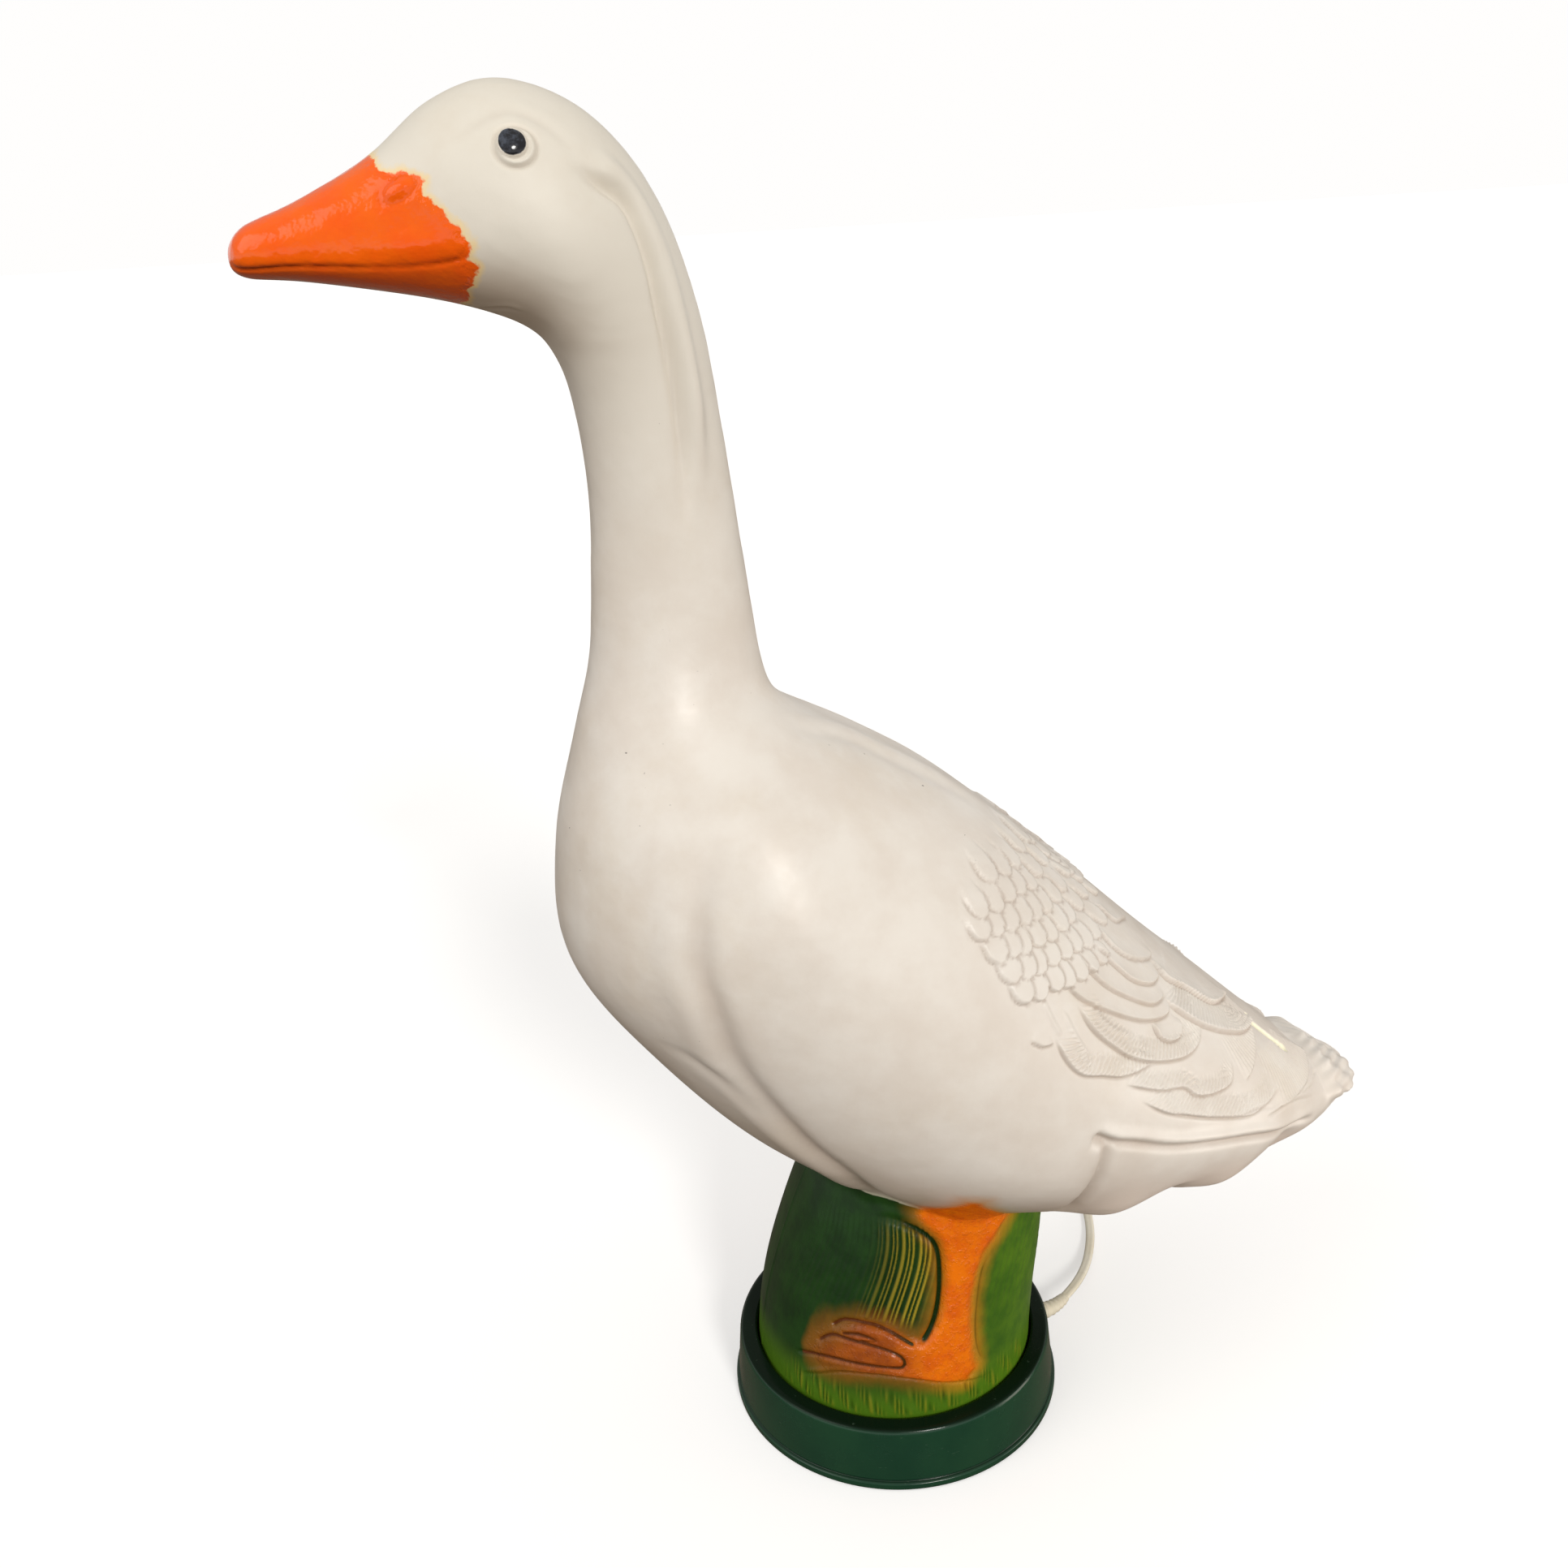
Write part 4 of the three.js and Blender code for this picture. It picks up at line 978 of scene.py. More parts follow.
def loft(sections, rings, sides, inset=0.0):
    """Points and faces of a closed skin over the sections, shrunk by inset."""
    table = np.array(sections, float)
    last = len(table) - 1
    ends = padded(table)
    t = np.linspace(0, last, rings)
    i = np.minimum(t.astype(int), last - 1)
    rows = catmull_rom(*(ends[i + k] for k in range(4)), (t - i)[:, None])
    ux, uz, lx, lz, half, widest, power = (rows[:, k:k + 1] for k in range(7))
    angle = np.arange(sides) * 2 * math.pi / sides
    c, s = np.cos(angle)[None], np.sin(angle)[None]
    down = np.where(c > 0, widest * (1 - c), widest - (1 - widest) * c)
    tall = np.hypot(lx - ux, lz - uz)
    along = inset / tall + down * (1 - 2 * inset / tall)
    y = (half - inset) * np.sign(s) * np.abs(s) ** power
    points = np.stack([ux + (lx - ux) * along, y, uz + (lz - uz) * along], 2).reshape(-1, 3)
    faces = [face[::-1] for face in grid_faces(rings, sides)]
    faces.append(tuple(range(sides)))
    faces.append(tuple(range(len(points) - 1, len(points) - 1 - sides, -1)))
    return points, faces


VOXEL = 2.5
BODY = loft(GOOSE_SECTIONS, 400, 160)
FOOT = list(COLUMN_SECTIONS[0])
FOOT[1] = FOOT[3] = FOOT_Z - 5       # the column is made longer and cut off at FOOT_Z
LONG_COLUMN = [tuple(FOOT)] + COLUMN_SECTIONS
COLUMN = loft(LONG_COLUMN, 60, 160)
BODY_TREE = BVHTree.FromPolygons([Vector(p) for p in BODY[0]], BODY[1])
COLUMN_TREE = BVHTree.FromPolygons([Vector(p) for p in COLUMN[0]], COLUMN[1])


def vectors(elements, attribute):
    """One vector of each element of a mesh, as an array."""
    values = np.empty(len(elements) * 3, np.float32)
    elements.foreach_get(attribute, values)
    return values.reshape(-1, 3).astype(float)


def place_vertices(mesh, points):
    mesh.vertices.foreach_set("co", (points * MM).astype(np.float32).ravel())
    mesh.update()


def relax(mesh, rounds):
    """Evens out the mesh: each vertex moves half way to the middle of its neighbours."""
    points = vectors(mesh.vertices, "co") / MM
    edges = np.empty(len(mesh.edges) * 2, np.int32)
    mesh.edges.foreach_get("vertices", edges)
    a, b = edges[0::2], edges[1::2]
    count = len(points)
    degree = np.bincount(a, minlength=count) + np.bincount(b, minlength=count)
    for _ in range(rounds):
        for k in range(3):
            column = points[:, k]
            total = np.bincount(a, column[b], count) + np.bincount(b, column[a], count)
            points[:, k] = 0.5 * column + 0.5 * total / degree
    place_vertices(mesh, points)


def refine(mesh, chosen):
    """Splits each face whose middle is chosen in four."""
    build = bmesh.new()
    build.from_mesh(mesh)
    build.faces.ensure_lookup_table()
    edges = set()
    for face in build.faces:
        if chosen[face.index]:
            edges.update(face.edges)
    bmesh.ops.subdivide_edges(build, edges=list(edges), cuts=1, use_grid_fill=True)
    build.to_mesh(mesh)
    build.free()
    mesh.update()


def face_middles(mesh):
    return vectors(mesh.polygons, "center") / MM


def wants_detail(middles):
    """Head, wings, tail and column: everything with relief on it."""
    x, side, z = middles[:, 0], np.abs(middles[:, 1]), middles[:, 2]
    head = (z > 572) & (x < -96)
    wing = (z < 345) & (x > 8) & (side > 18) & (z > 155) & (z + 0.9 * x > 250)
    tail = x > 190
    legs = (z < 150) & (z > 30) & (x < 62)
    return head | wing | tail | legs


def wants_barbs(middles):
    """Big feathers with fine barbs, the eyes and the legs."""
    x, side, z = middles[:, 0], np.abs(middles[:, 1]), middles[:, 2]
    down = z + 0.62 * x
    feathers = (x > 38) & (side > 22) & (down > 262) & (down < 330) & (z < 325)
    eye = np.hypot(np.hypot(x + 149, side - 37), z - 645) < 13
    leg = (x > -76) & (x < 40) & (side > 30) & (z > 36) & (z < 140)
    return feathers | eye | leg


def smooth_goose():
    goose = joined("goose", [make_object("body", *BODY), make_object("column", *COLUMN)])
    remesh = goose.modifiers.new("remesh", "REMESH")
    remesh.mode = "VOXEL"
    remesh.voxel_size = VOXEL * MM
    apply_modifiers(goose)
    mesh = goose.data
    relax(mesh, 4)
    refine(mesh, wants_detail(face_middles(mesh)))
    relax(mesh, 5)
    refine(mesh, wants_barbs(face_middles(mesh)))
    relax(mesh, 5)
    return goose


# ---------------------------------------------------------------- goose: relief and paint masks

# Relief is drawn on one side, where y is the distance from the plane of symmetry, and both sides get it.
MOUTH = [(-262, 6, 608), (-254, 13, 606), (-234, 20, 606), (-204, 27, 604), (-188, 31, 604), (-178, 34, 605),
         (-168, 37, 607)]
BROW = [(-174, 31, 642), (-160, 30, 653), (-147, 29, 657), (-133, 31, 649), (-122, 35, 637)]
CHEEK = [(-130, 36, 637), (-119, 35, 631), (-108, 31, 623), (-102, 31, 611), (-99, 30, 598), (-97, 29, 582),
         (-94, 27, 560), (-92, 27, 535), (-93, 27, 510), (-94, 28, 486)]
NAPE_RIDGE = [(-120, 31, 642), (-104, 29, 634), (-94, 28, 618), (-89, 27, 598), (-86, 26, 570),
              (-84, 25, 540), (-84, 26, 505)]
THROAT = [(-168, 8, 586), (-160, 18, 586), (-150, 22, 588)]
BREAST = [(-98, 72, 378), (-103, 78, 358), (-110, 84, 335), (-112, 87, 313), (-108, 88, 296), (-98, 84, 263),
          (-83, 82, 236), (-67, 79, 211), (-49, 76, 186), (-34, 62, 166), (-20, 50, 148)]
BREAST_FRONT = [(-130, 57, 270), (-119, 69, 264), (-104, 75, 252), (-92, 77, 234), (-76, 74, 210)]
BACK_EDGE = [(-64, 39, 402), (-44, 30, 398), (-26, 23, 390), (-3, 24, 375), (26, 22, 356), (48, 22, 338)]
TAIL_CREASE = [(59, 109, 212), (70, 108, 205), (85, 105, 199), (105, 101, 190), (131, 94, 182),
               (155, 86, 175), (179, 75, 166), (197, 65, 160), (216, 50, 154)]
THIN_CREASE = [(98, 99, 214), (117, 96, 202), (147, 87, 190), (165, 78, 186), (190, 66, 172)]
THIGH_CREASE = [(61, 109, 210), (69, 108, 203), (67, 106, 189), (64, 102, 176), (60, 91, 160), (56, 76, 142)]
BEAK_EDGE = [(-210, 658), (-202, 646), (-199, 641), (-196, 638), (-190, 638), (-186, 637), (-183, 634),
             (-184, 629), (-179, 625), (-173, 618), (-168, 611), (-171, 606), (-167, 602), (-172, 592),
             (-178, 580)]
NOTCH = [(104, 40, 126), (110, 60, 133), (115, 76, 145), (121, 87, 160)]
SHANK_FRONT = [(-30, 47, 142), (-21, 54, 143), (-12, 60, 140), (-4, 63, 134), (-1, 66, 126), (-1, 68, 112),
               (-3, 70, 98), (-7, 71, 86), (-14, 72, 76)]
SHANK_BACK = [(37, 61, 126), (29, 64, 120), (23, 66, 113), (19, 68, 98), (17, 70, 79), (18, 70, 65),
              (22, 69, 54)]
LEDGE = [(-70, 40, 46), (-51, 58, 58), (-34, 68, 60), (-18, 73, 58), (-3, 75, 53), (14, 73, 48), (28, 69, 46)]
TOE_LINES = [
    [(-54, 50, 82), (-48, 54, 87), (-37, 61, 88), (-29, 66, 86), (-20, 70, 80), (-15, 71, 77)],
    [(-62, 46, 70), (-54, 51, 77), (-46, 58, 78), (-35, 65, 77), (-26, 69, 74), (-22, 71, 70), (-23, 71, 66),
     (-31, 69, 66), (-42, 63, 66), (-58, 51, 64), (-72, 35, 57)],
    [(-50, 55, 80), (-42, 60, 82), (-34, 64, 80), (-42, 60, 78)],
]
# The leg's outline seen from the side: the flare under the belly, the shank, the heel and the toes.
LEG_OUTLINE = [
    (-8, 144), (-1, 135), (1, 126), (1, 112), (-2, 98), (-6, 87), (-13, 80), (-20, 82), (-29, 88), (-40, 89),
    (-50, 84), (-60, 74), (-66, 64), (-60, 57), (-48, 59), (-34, 61), (-18, 58), (-3, 53), (10, 50), (16, 55),
    (15, 66), (14, 80), (15, 98), (19, 112), (23, 121), (31, 129), (38, 137), (32, 158), (24, 190), (-8, 190),
    (-11, 160),
]
EYE = Vector((-149, 37, 645))
PUPIL_R = 5.0
NOSTRIL = Vector((-193, 27, 631.5))
SLOT = [(182, 32, 209), (204, 34, 188)]


def surface_at(x, z):
    """The goose's smooth side at (x, z) of the side view, and its outward normal, with y positive."""
    hit, normal, _, _ = BODY_TREE.ray_cast(Vector((x, 400, z)), Vector((0, -1, 0)))
    if hit is None:
        hit, normal, _, _ = BODY_TREE.find_nearest(Vector((x, 20, z)))
    if normal.y < 0:
        normal = -normal
    return hit, normal


def outline_distance(points, outline):
    """Distance in the side view to a closed outline, positive inside it."""
    x, z = points[:, 0], points[:, 2]
    nearest = np.full(len(points), 1e9)
    inside = np.zeros(len(points), bool)
    corners = np.array(outline, float)
    for (ax, az), (bx, bz) in zip(corners, np.roll(corners, -1, axis=0)):
        dx, dz = bx - ax, bz - az
        t = np.clip(((x - ax) * dx + (z - az) * dz) / (dx * dx + dz * dz), 0, 1)
        nearest = np.minimum(nearest, np.hypot(x - ax - t * dx, z - az - t * dz))
        if dz:
            inside ^= ((az > z) != (bz > z)) & (x < dx * (z - az) / dz + ax)
    return np.where(inside, nearest, -nearest)


BARB_PITCH = 2.8                     # distance between the barbs along a feather's edge


class Skin:
    """The goose's vertices with the height that relief adds to each, and how much painted shade each gets in
    creases and under edges.
    """

    def __init__(self, mesh):
        self.points = vectors(mesh.vertices, "co") / MM
        self.normals = vectors(mesh.vertex_normals, "vector")
        self.folded = self.points.copy()
        self.folded[:, 1] = np.abs(self.points[:, 1])
        self.facing = self.normals.copy()
        self.facing[:, 1] *= np.where(self.points[:, 1] < 0, -1, 1)
        self.height = np.zeros(len(self.points))
        self.feather = np.zeros(len(self.points))
        self.crease_shade = np.zeros(len(self.points))
        self.comb = np.zeros(len(self.points))

    def near(self, line, reach):
        """Vertices within reach of a curve: their index, distance, side of it and share of its length."""
        curve = spline(line, 2.5)
        low, high = curve.min(0) - reach, curve.max(0) + reach
        index = np.nonzero(np.all((self.folded > low) & (self.folded < high), axis=1))[0]
        points, facing = self.folded[index], self.facing[index]
        best = np.full(len(index), 1e9)
        side = np.zeros(len(index))
        share = np.zeros(len(index))
        for k in range(len(curve) - 1):
            step = curve[k + 1] - curve[k]
            t = np.clip((points - curve[k]) @ step / (step @ step), 0, 1)
            offset = points - curve[k] - t[:, None] * step
            distance = np.linalg.norm(offset, axis=1)
            closer = distance < best
            best[closer] = distance[closer]
            across = np.cross(step / np.linalg.norm(step), facing)
            side[closer] = np.sum(across * offset, axis=1)[closer]
            share[closer] = ((k + t) / (len(curve) - 1))[closer]
        keep = best < reach
        return index[keep], best[keep], np.sign(side[keep]) * best[keep], share[keep]

    def add_crease_shade(self, amount, index=slice(None)):
        """Makes the painted crease shade at least amount."""
        self.crease_shade[index] = np.maximum(self.crease_shade[index], amount)

    def groove(self, line, depth, width, lip=0.0, ends=(0.12, 0.12), shading=0.5):
        """A rounded groove with painted shade in it; lip raises the skin on its left (positive) or right
        side.
        """
        index, distance, side, share = self.near(line, 4.5 * width)
        taper = ease(share, -0.001, ends[0] + 1e-6) * ease(1 - share, -0.001, ends[1] + 1e-6)
        cut = np.exp(-(distance / width) ** 2) * taper
        self.height[index] -= depth * cut
        if lip:
            swell = np.exp(-((side * np.sign(lip) - 1.9 * width) / (1.3 * width)) ** 2)
            self.height[index] += abs(lip) * swell * taper
        # Painted shade, deepest along the middle of the groove.
        self.add_crease_shade(shading * cut ** 1.5, index)

    def ridge(self, line, rise, width, ends=(0.2, 0.2)):
        index, distance, _, share = self.near(line, 3 * width)
        taper = ease(share, 0, ends[0]) * ease(1 - share, 0, ends[1])
        self.height[index] += rise * np.exp(-(distance / width) ** 2) * taper

    def bump(self, centre, rise, radius, flat=(1, 1, 1)):
        offset = (self.folded - np.array(centre, float)) / np.array(flat, float)
        self.height += rise * np.exp(-(np.linalg.norm(offset, axis=1) / radius) ** 2)

    def lap(self, line, rise, decay, barbs=0.0, slant=0.0, reach=0.0):
        """The edge of a feather that lies over the skin on the line's right-hand side.

        The skin rises to rise at the line and sinks back over decay on the left. barbs is the depth of the
        fine grooves that run in from the edge as far as reach, and slant how far they lean. Without a
        reach it is three times decay.
        """
        reach = reach or 3 * decay
        index, _, side, share = self.near(line, reach + 4)
        taper = ease(share, -0.001, 0.12) * ease(1 - share, -0.001, 0.12)
        inside = ease(side, -0.45, 0.45)
        fall = np.exp(-np.clip(side, 0, None) / decay)
        height = 1.4 * rise * inside * fall * taper
        under = np.exp(-((side + 0.7) / 0.7) ** 2) * taper
        length = lengths_along(np.array(line, float))[-1]
        if barbs:
            wave = np.sin((share * length - side * slant) * 2 * math.pi / BARB_PITCH)
            height += barbs * wave * ease(side, 0.5, 2.0) * ease(reach - side, 0, 4) * taper
        self.height[index] += height - 0.6 * under
        # Painted shade in the dip under the feather's edge.
        self.add_crease_shade(0.75 * under, index)

    def scale(self, root, tip, half, rise):
        """A small feather lying on the skin from root to tip, both (x, z) of the side view."""
        start, first = surface_at(*root)
        end, second = surface_at(*tip)
        normal = (first + second).normalized()
        line = end - start
        length = line.length
        line = line.normalized()
        across = line.cross(normal).normalized()
        middle = (start + end) / 2
        reach = length / 2 + half + 2
        index = np.nonzero(np.linalg.norm(self.folded - np.array(middle), axis=1) < reach)[0]
        index = index[self.facing[index] @ np.array(normal) > 0.15]
        offset = self.folded[index] - np.array(start)
        a = offset @ np.array(line)
        b = offset @ np.array(across)
        tip_start = length - min(0.75 * length, 1.25 * half)
        rounding = np.clip((a - tip_start) / (length - tip_start), 0, 1)
        width = half * np.sqrt(np.clip(1 - rounding ** 2.2, 0, 1)) * (0.7 + 0.3 * ease(a, 0, 0.5 * length))
        edge = np.minimum(width - np.abs(b), length - a)
        body = ease(edge, -0.3, 0.8) * ease(a, 0.02 * length, 0.45 * length)
        height = rise * (0.35 + 0.65 * np.clip(a / length, 0, 1)) * body
        under = np.exp(-((edge + 0.7) / 0.8) ** 2) * ease(a, 0.3 * length, 0.6 * length) * (edge < 0.4)
        # Painted shade under the small feather's edge.
        self.crease_shade[index] = np.maximum(self.crease_shade[index] * (body < 0.9), 0.7 * under)
        over = np.maximum(self.feather[index], height)
        self.feather[index] = np.where(body > 0.5, np.maximum(height, 0.25 * over), over - 0.3 * under)


def small_feathers(skin, rng):
    """Overlapping scale feathers in slanting rows on the front of the wing."""
    first_tip = np.array((26.5, 318.0))
    along_row = np.array((8.4, -0.6))
    next_row = np.array((6.0, -9.8))
    rows = {4: (-2, 4), 3: (-2, 6), 2: (-2, 8), 1: (-2, 8), 0: (-1, 8), -1: (1, 6)}
    for row, (start, stop) in rows.items():
        for k in range(stop, start - 1, -1):
            tip = first_tip + k * along_row + row * next_row + rng.uniform(-0.9, 0.9, 2)
            lean = 0.4 + 0.05 * k
            size = rng.uniform(0.95, 1.15)
            root = tip - 18.0 * size * np.array((lean, -math.sqrt(1 - lean * lean)))
            skin.scale(root, tip, 5.6 * size, rng.uniform(1.8, 2.4))


# Edges of the larger feathers, left to right in the side view, with the feather above the line: points
# (x, z), rise, decay and, where there are barbs, their depth, their slant and how far in they reach.
FEATHER_EDGES = [
    ([(94, 291), (103, 281), (112, 276), (121, 275)], 1.1, 5),
    ([(84, 290), (93, 278), (104, 269), (118, 262), (123, 262)], 1.2, 5),
    ([(78, 286), (89, 274), (99, 264), (112, 257), (122, 256)], 1.3, 5),
    ([(68, 284), (79, 271), (92, 261), (107, 252), (120, 250)], 1.3, 5),
    ([(54, 282), (64, 271), (80, 260), (98, 250), (114, 245), (121, 248)], 1.4, 6),
    ([(119, 262), (124, 253), (138, 242), (153, 230), (167, 223), (177, 221)], 1.9, 8),
    ([(117, 250), (123, 243), (136, 232), (155, 220), (173, 211), (187, 207)], 1.9, 8, 0.5, 0.5, 22),
    ([(104, 247), (106, 240), (112, 236), (119, 235), (124, 239)], 1.5, 5),
    ([(60, 272), (66, 259), (76, 248), (87, 239), (102, 232), (119, 227), (130, 227), (139, 231)],
     1.4, 6, 0.8, 0.55, 13),
    ([(45, 262), (50, 250), (57, 242), (68, 238), (79, 234), (90, 233), (101, 233)], 1.1, 6, 0.8, 0.5, 12),
    ([(32, 264), (38, 260), (44, 260)], 0.8, 3),
    ([(80, 230), (99, 221), (115, 216), (122, 210), (134, 206), (147, 205), (153, 211)],
     1.1, 5, 0.7, 0.8, 10),
    ([(88, 220), (103, 209), (118, 202), (131, 196), (155, 187), (170, 186), (184, 187)],
     1.1, 6, 0.7, 0.8, 13),
]
# The ends of the two widest feathers, which turn down over the side, and the edge of the tuft.
FEATHER_ENDS = [
    ([(158, 74, 200), (167, 64, 202), (175, 53, 205), (180, 42, 209), (181, 33, 212)], 1.5, 8, 0.3, 0.3, 24),
    ([(178, 73, 180), (198, 58, 176), (212, 44, 174), (222, 27, 175), (225, 14, 177)], 2.0, 9, 0.3, 0.3, 30),
]
SHAFTS = [
    [(41, 280), (44, 271), (49, 260)],
    [(51, 272), (56, 259), (63, 247)],
    [(66, 268), (76, 256), (90, 247)],
]


def on_side(points):
    return [tuple(surface_at(*p)[0]) for p in points]


def feathers(skin):
    small_feathers(skin, np.random.default_rng(7))
    skin.height += skin.feather
    for line, *shape in FEATHER_EDGES:
        skin.lap(on_side(line), *shape)
    for line, *shape in FEATHER_ENDS:
        skin.lap(line, *shape)
    for line in SHAFTS:
        skin.ridge(on_side(line), 0.9, 1.3)


def eye_relief(skin):
    """A round pupil on a dome, in a ring that sits a little low and behind it."""
    distance = np.linalg.norm(skin.folded - np.array(EYE), axis=1)
    ring = np.linalg.norm(skin.folded - np.array(EYE) - (1.0, 0, -1.0), axis=1)
    dome = 2.4 * np.sqrt(np.clip(1 - (distance / 5.8) ** 2, 0, 1))
    rims = 1.0 * np.exp(-((ring - 6.5) / 0.7) ** 2) - 0.8 * np.exp(-((ring - 8.3) / 0.8) ** 2)
    skin.height += dome + rims + 0.5 * np.exp(-(ring / 9.5) ** 4)
    shade = np.exp(-((ring - 8.2) / 0.6) ** 2) + np.exp(-((distance - 5.6) / 0.35) ** 2)
    skin.add_crease_shade(0.4 * np.clip(shade, 0, 1))


def nostril_relief(skin):
    """A raised oval with a groove round it."""
    offset = skin.folded - np.array(NOSTRIL)
    a = (offset[:, 0] * 0.9 + offset[:, 2] * 0.43) / 7.0
    b = (offset[:, 2] * 0.9 - offset[:, 0] * 0.43) / 3.6
    far = np.hypot(a, b) + np.abs(offset[:, 1]) / 40
    skin.height += 1.3 * np.exp(-(far / 0.8) ** 4) - 0.35 * np.exp(-((far - 1.15) / 0.25) ** 2)
    # Painted shade in the groove round the nostril.
    skin.add_crease_shade(0.15 * np.exp(-((far - 1.15) / 0.16) ** 2))


def head_relief(skin):
    # Each groove below carries painted shade along it.
    skin.groove(MOUTH, 1.3, 1.0, ends=(0.02, 0.1), shading=1.0)
    skin.bump((-190, 32, 611), 1.6, 9, flat=(1.7, 1, 0.55))
    skin.groove(BROW, 0.9, 2.4, lip=0.2, ends=(0.3, 0.4), shading=0.15)
    skin.groove(CHEEK, 4.4, 3.1, lip=1.2, ends=(0.12, 0.35), shading=0.14)
    skin.ridge(NAPE_RIDGE, 4.2, 4.2, ends=(0.12, 0.3))
    skin.groove(THROAT, 1.3, 1.5, lip=0.3, shading=0.3)
    skin.bump((-132, 40, 604), 1.6, 20)
    eye_relief(skin)
    nostril_relief(skin)


def body_relief(skin):
    # Each groove below carries painted shade along it.
    skin.groove(BREAST, 3.8, 6.5, lip=-1.4, ends=(0.25, 0.1), shading=0.4)
    skin.groove(BREAST_FRONT, 2.0, 5.0, ends=(0.4, 0.4), shading=0.2)
    skin.groove(BACK_EDGE, 1.1, 5.0, lip=1.0, ends=(0.3, 0.4), shading=0.05)
    skin.bump((-70, 92, 335), 3.0, 26)
    skin.bump((-72, 78, 366), 2.0, 20)
    skin.groove(TAIL_CREASE, 2.8, 2.2, lip=1.8, ends=(0.06, 0.15), shading=0.7)
    skin.groove(THIN_CREASE, 0.8, 1.2, ends=(0.2, 0.3), shading=0.4)
    skin.groove(THIGH_CREASE, 3.6, 3.4, ends=(0.03, 0.25), shading=0.4)
    skin.groove(NOTCH, 7.5, 8.0, ends=(0.05, 0.5), shading=0.1)
    skin.bump((84, 80, 146), 5.0, 19)
    skin.bump((148, 68, 142), 4.0, 17)
    skin.bump((188, 60, 149), -6.0, 17)
    skin.bump((40, 100, 185), 2.0, 26)


def tail_relief(skin):
    """The rough tuft at the end of the tail, and the pale slit above it."""
    x, y, z = skin.folded.T
    up = ease(skin.facing[:, 2], -0.1, 0.4)
    tuft = ease(x, 226, 236) * up
    lumps = np.sin(0.5 * x + 0.3 * y) * np.sin(0.42 * y - 0.5 * z + 1.3)
    skin.height += tuft * (5.4 + 1.2 * lumps)
    skin.bump((224, 6, 176), -1.6, 7)
    # Grooves across the tail, with painted shade in them.
    for k in range(3):
        line = [(168 + 9 * k, 80 - 9 * k, 180 - 3 * k), (192 + 8 * k, 64 - 9 * k, 175 - 3 * k),
                (216 + 8 * k, 48 - 10 * k, 164 + 2 * k)]
        skin.groove(line, 1.0, 1.0, lip=0.7, ends=(0.2, 0.3), shading=0.4)
    index, distance, _, _ = skin.near(SLOT, 6)
    skin.height[index] -= 1.2 * ease(3.4 - distance, 0, 0.8)


def leg_relief(skin, leg):
    """The leg and foot stand out of the column, with grooves along the shank and between the toes."""
    x, _, z = skin.folded.T
    toes = 0.3 + 0.7 * ease(x, -68, -36)
    skin.height += 2.4 * ease(leg, -1.2, 4.5) * ease(z, 152, 134) * toes
    skin.bump((12, 63, 149), 4.5, 12, flat=(1.3, 1, 1))          # where the thigh runs into the leg
    # The grooves on the leg carry painted shade, which also stands for pooled paint.
    skin.groove(SHANK_FRONT, 2.4, 2.0, ends=(0.25, 0.06), shading=1.0)
    skin.groove(SHANK_BACK, 0.7, 1.2, ends=(0.3, 0.1), shading=0.55)
    skin.groove(LEDGE, 0.9, 1.0, lip=0.8, ends=(0.1, 0.2), shading=0.55)
    for line in TOE_LINES:
        skin.groove(line, 1.4, 1.25, ends=(0.03, 0.06), shading=1.0)


def grass_relief(skin, leg, green):
    """Long combed grooves in front of the leg and short strokes round the foot of the column."""
    x, y, z = skin.folded.T
    on_column = ease(green, 0.0, 2.0)
    turn = np.degrees(np.arctan2(y, BASE_X - x))
    top = turn + 13 * ease(135 - z, 0, 62)
    comb = np.sin(top * 2 * math.pi / 2.5 + 1.2 * np.sin(top * 0.9))
    area = ease(top, 62, 76) * ease(97 - top, 0, 4) * ease(z, 84, 94) * ease(145 - z, 0, 10)
    area *= on_column * ease(-leg, 0.5, 3)
    skin.height += 0.6 * comb * area
    faint = ease(top, 8, 40) * ease(z, 70, 95) * ease(150 - z, 0, 20) * (1 - area)
    skin.height += 0.14 * np.sin(top * 2 * math.pi / 3.4) * faint * on_column * ease(-leg, 0.5, 4)
    sway = 0.09 * (z - 40) * np.sin(turn * 0.5) + 1.9 * np.sin(turn * 0.83)
    strokes = np.sin(turn * 2 * math.pi / 2.2 + sway)
    strokes = strokes * (0.55 + 0.45 * np.sin(turn * 0.61 + 0.3 * z))
    band = ease(z, 34, 38) * ease(56 - z, 0, 12) * ease(turn, 20, 34) * ease(150 - turn, 0, 20)
    band *= on_column * ease(-leg, -1, 2)
    skin.height += 0.6 * strokes * band
    combed = area * ease(comb, -0.2, 0.9) * ease(top, 60, 92)
    skin.comb = np.maximum(combed, 0.35 * band * ease(strokes, 0, 0.9))
    # Painted shade, over dark paint, in the gaps between the strokes and the combed ridges.
    skin.add_crease_shade(0.5 * band * ease(-strokes, 0.1, 1.0))
    skin.add_crease_shade(0.6 * area * ease(-comb, 0.1, 1.0))
    skin.height += 0.5 * np.exp(-(y / 0.55) ** 2) * on_column


def distances(points, tree):
    return np.array([tree.find_nearest(Vector(p))[3] for p in points])


def add_attribute(mesh, name, values):
    layer = mesh.attributes.new(name, "FLOAT", "POINT")
    layer.data.foreach_set("value", np.asarray(values, np.float32))


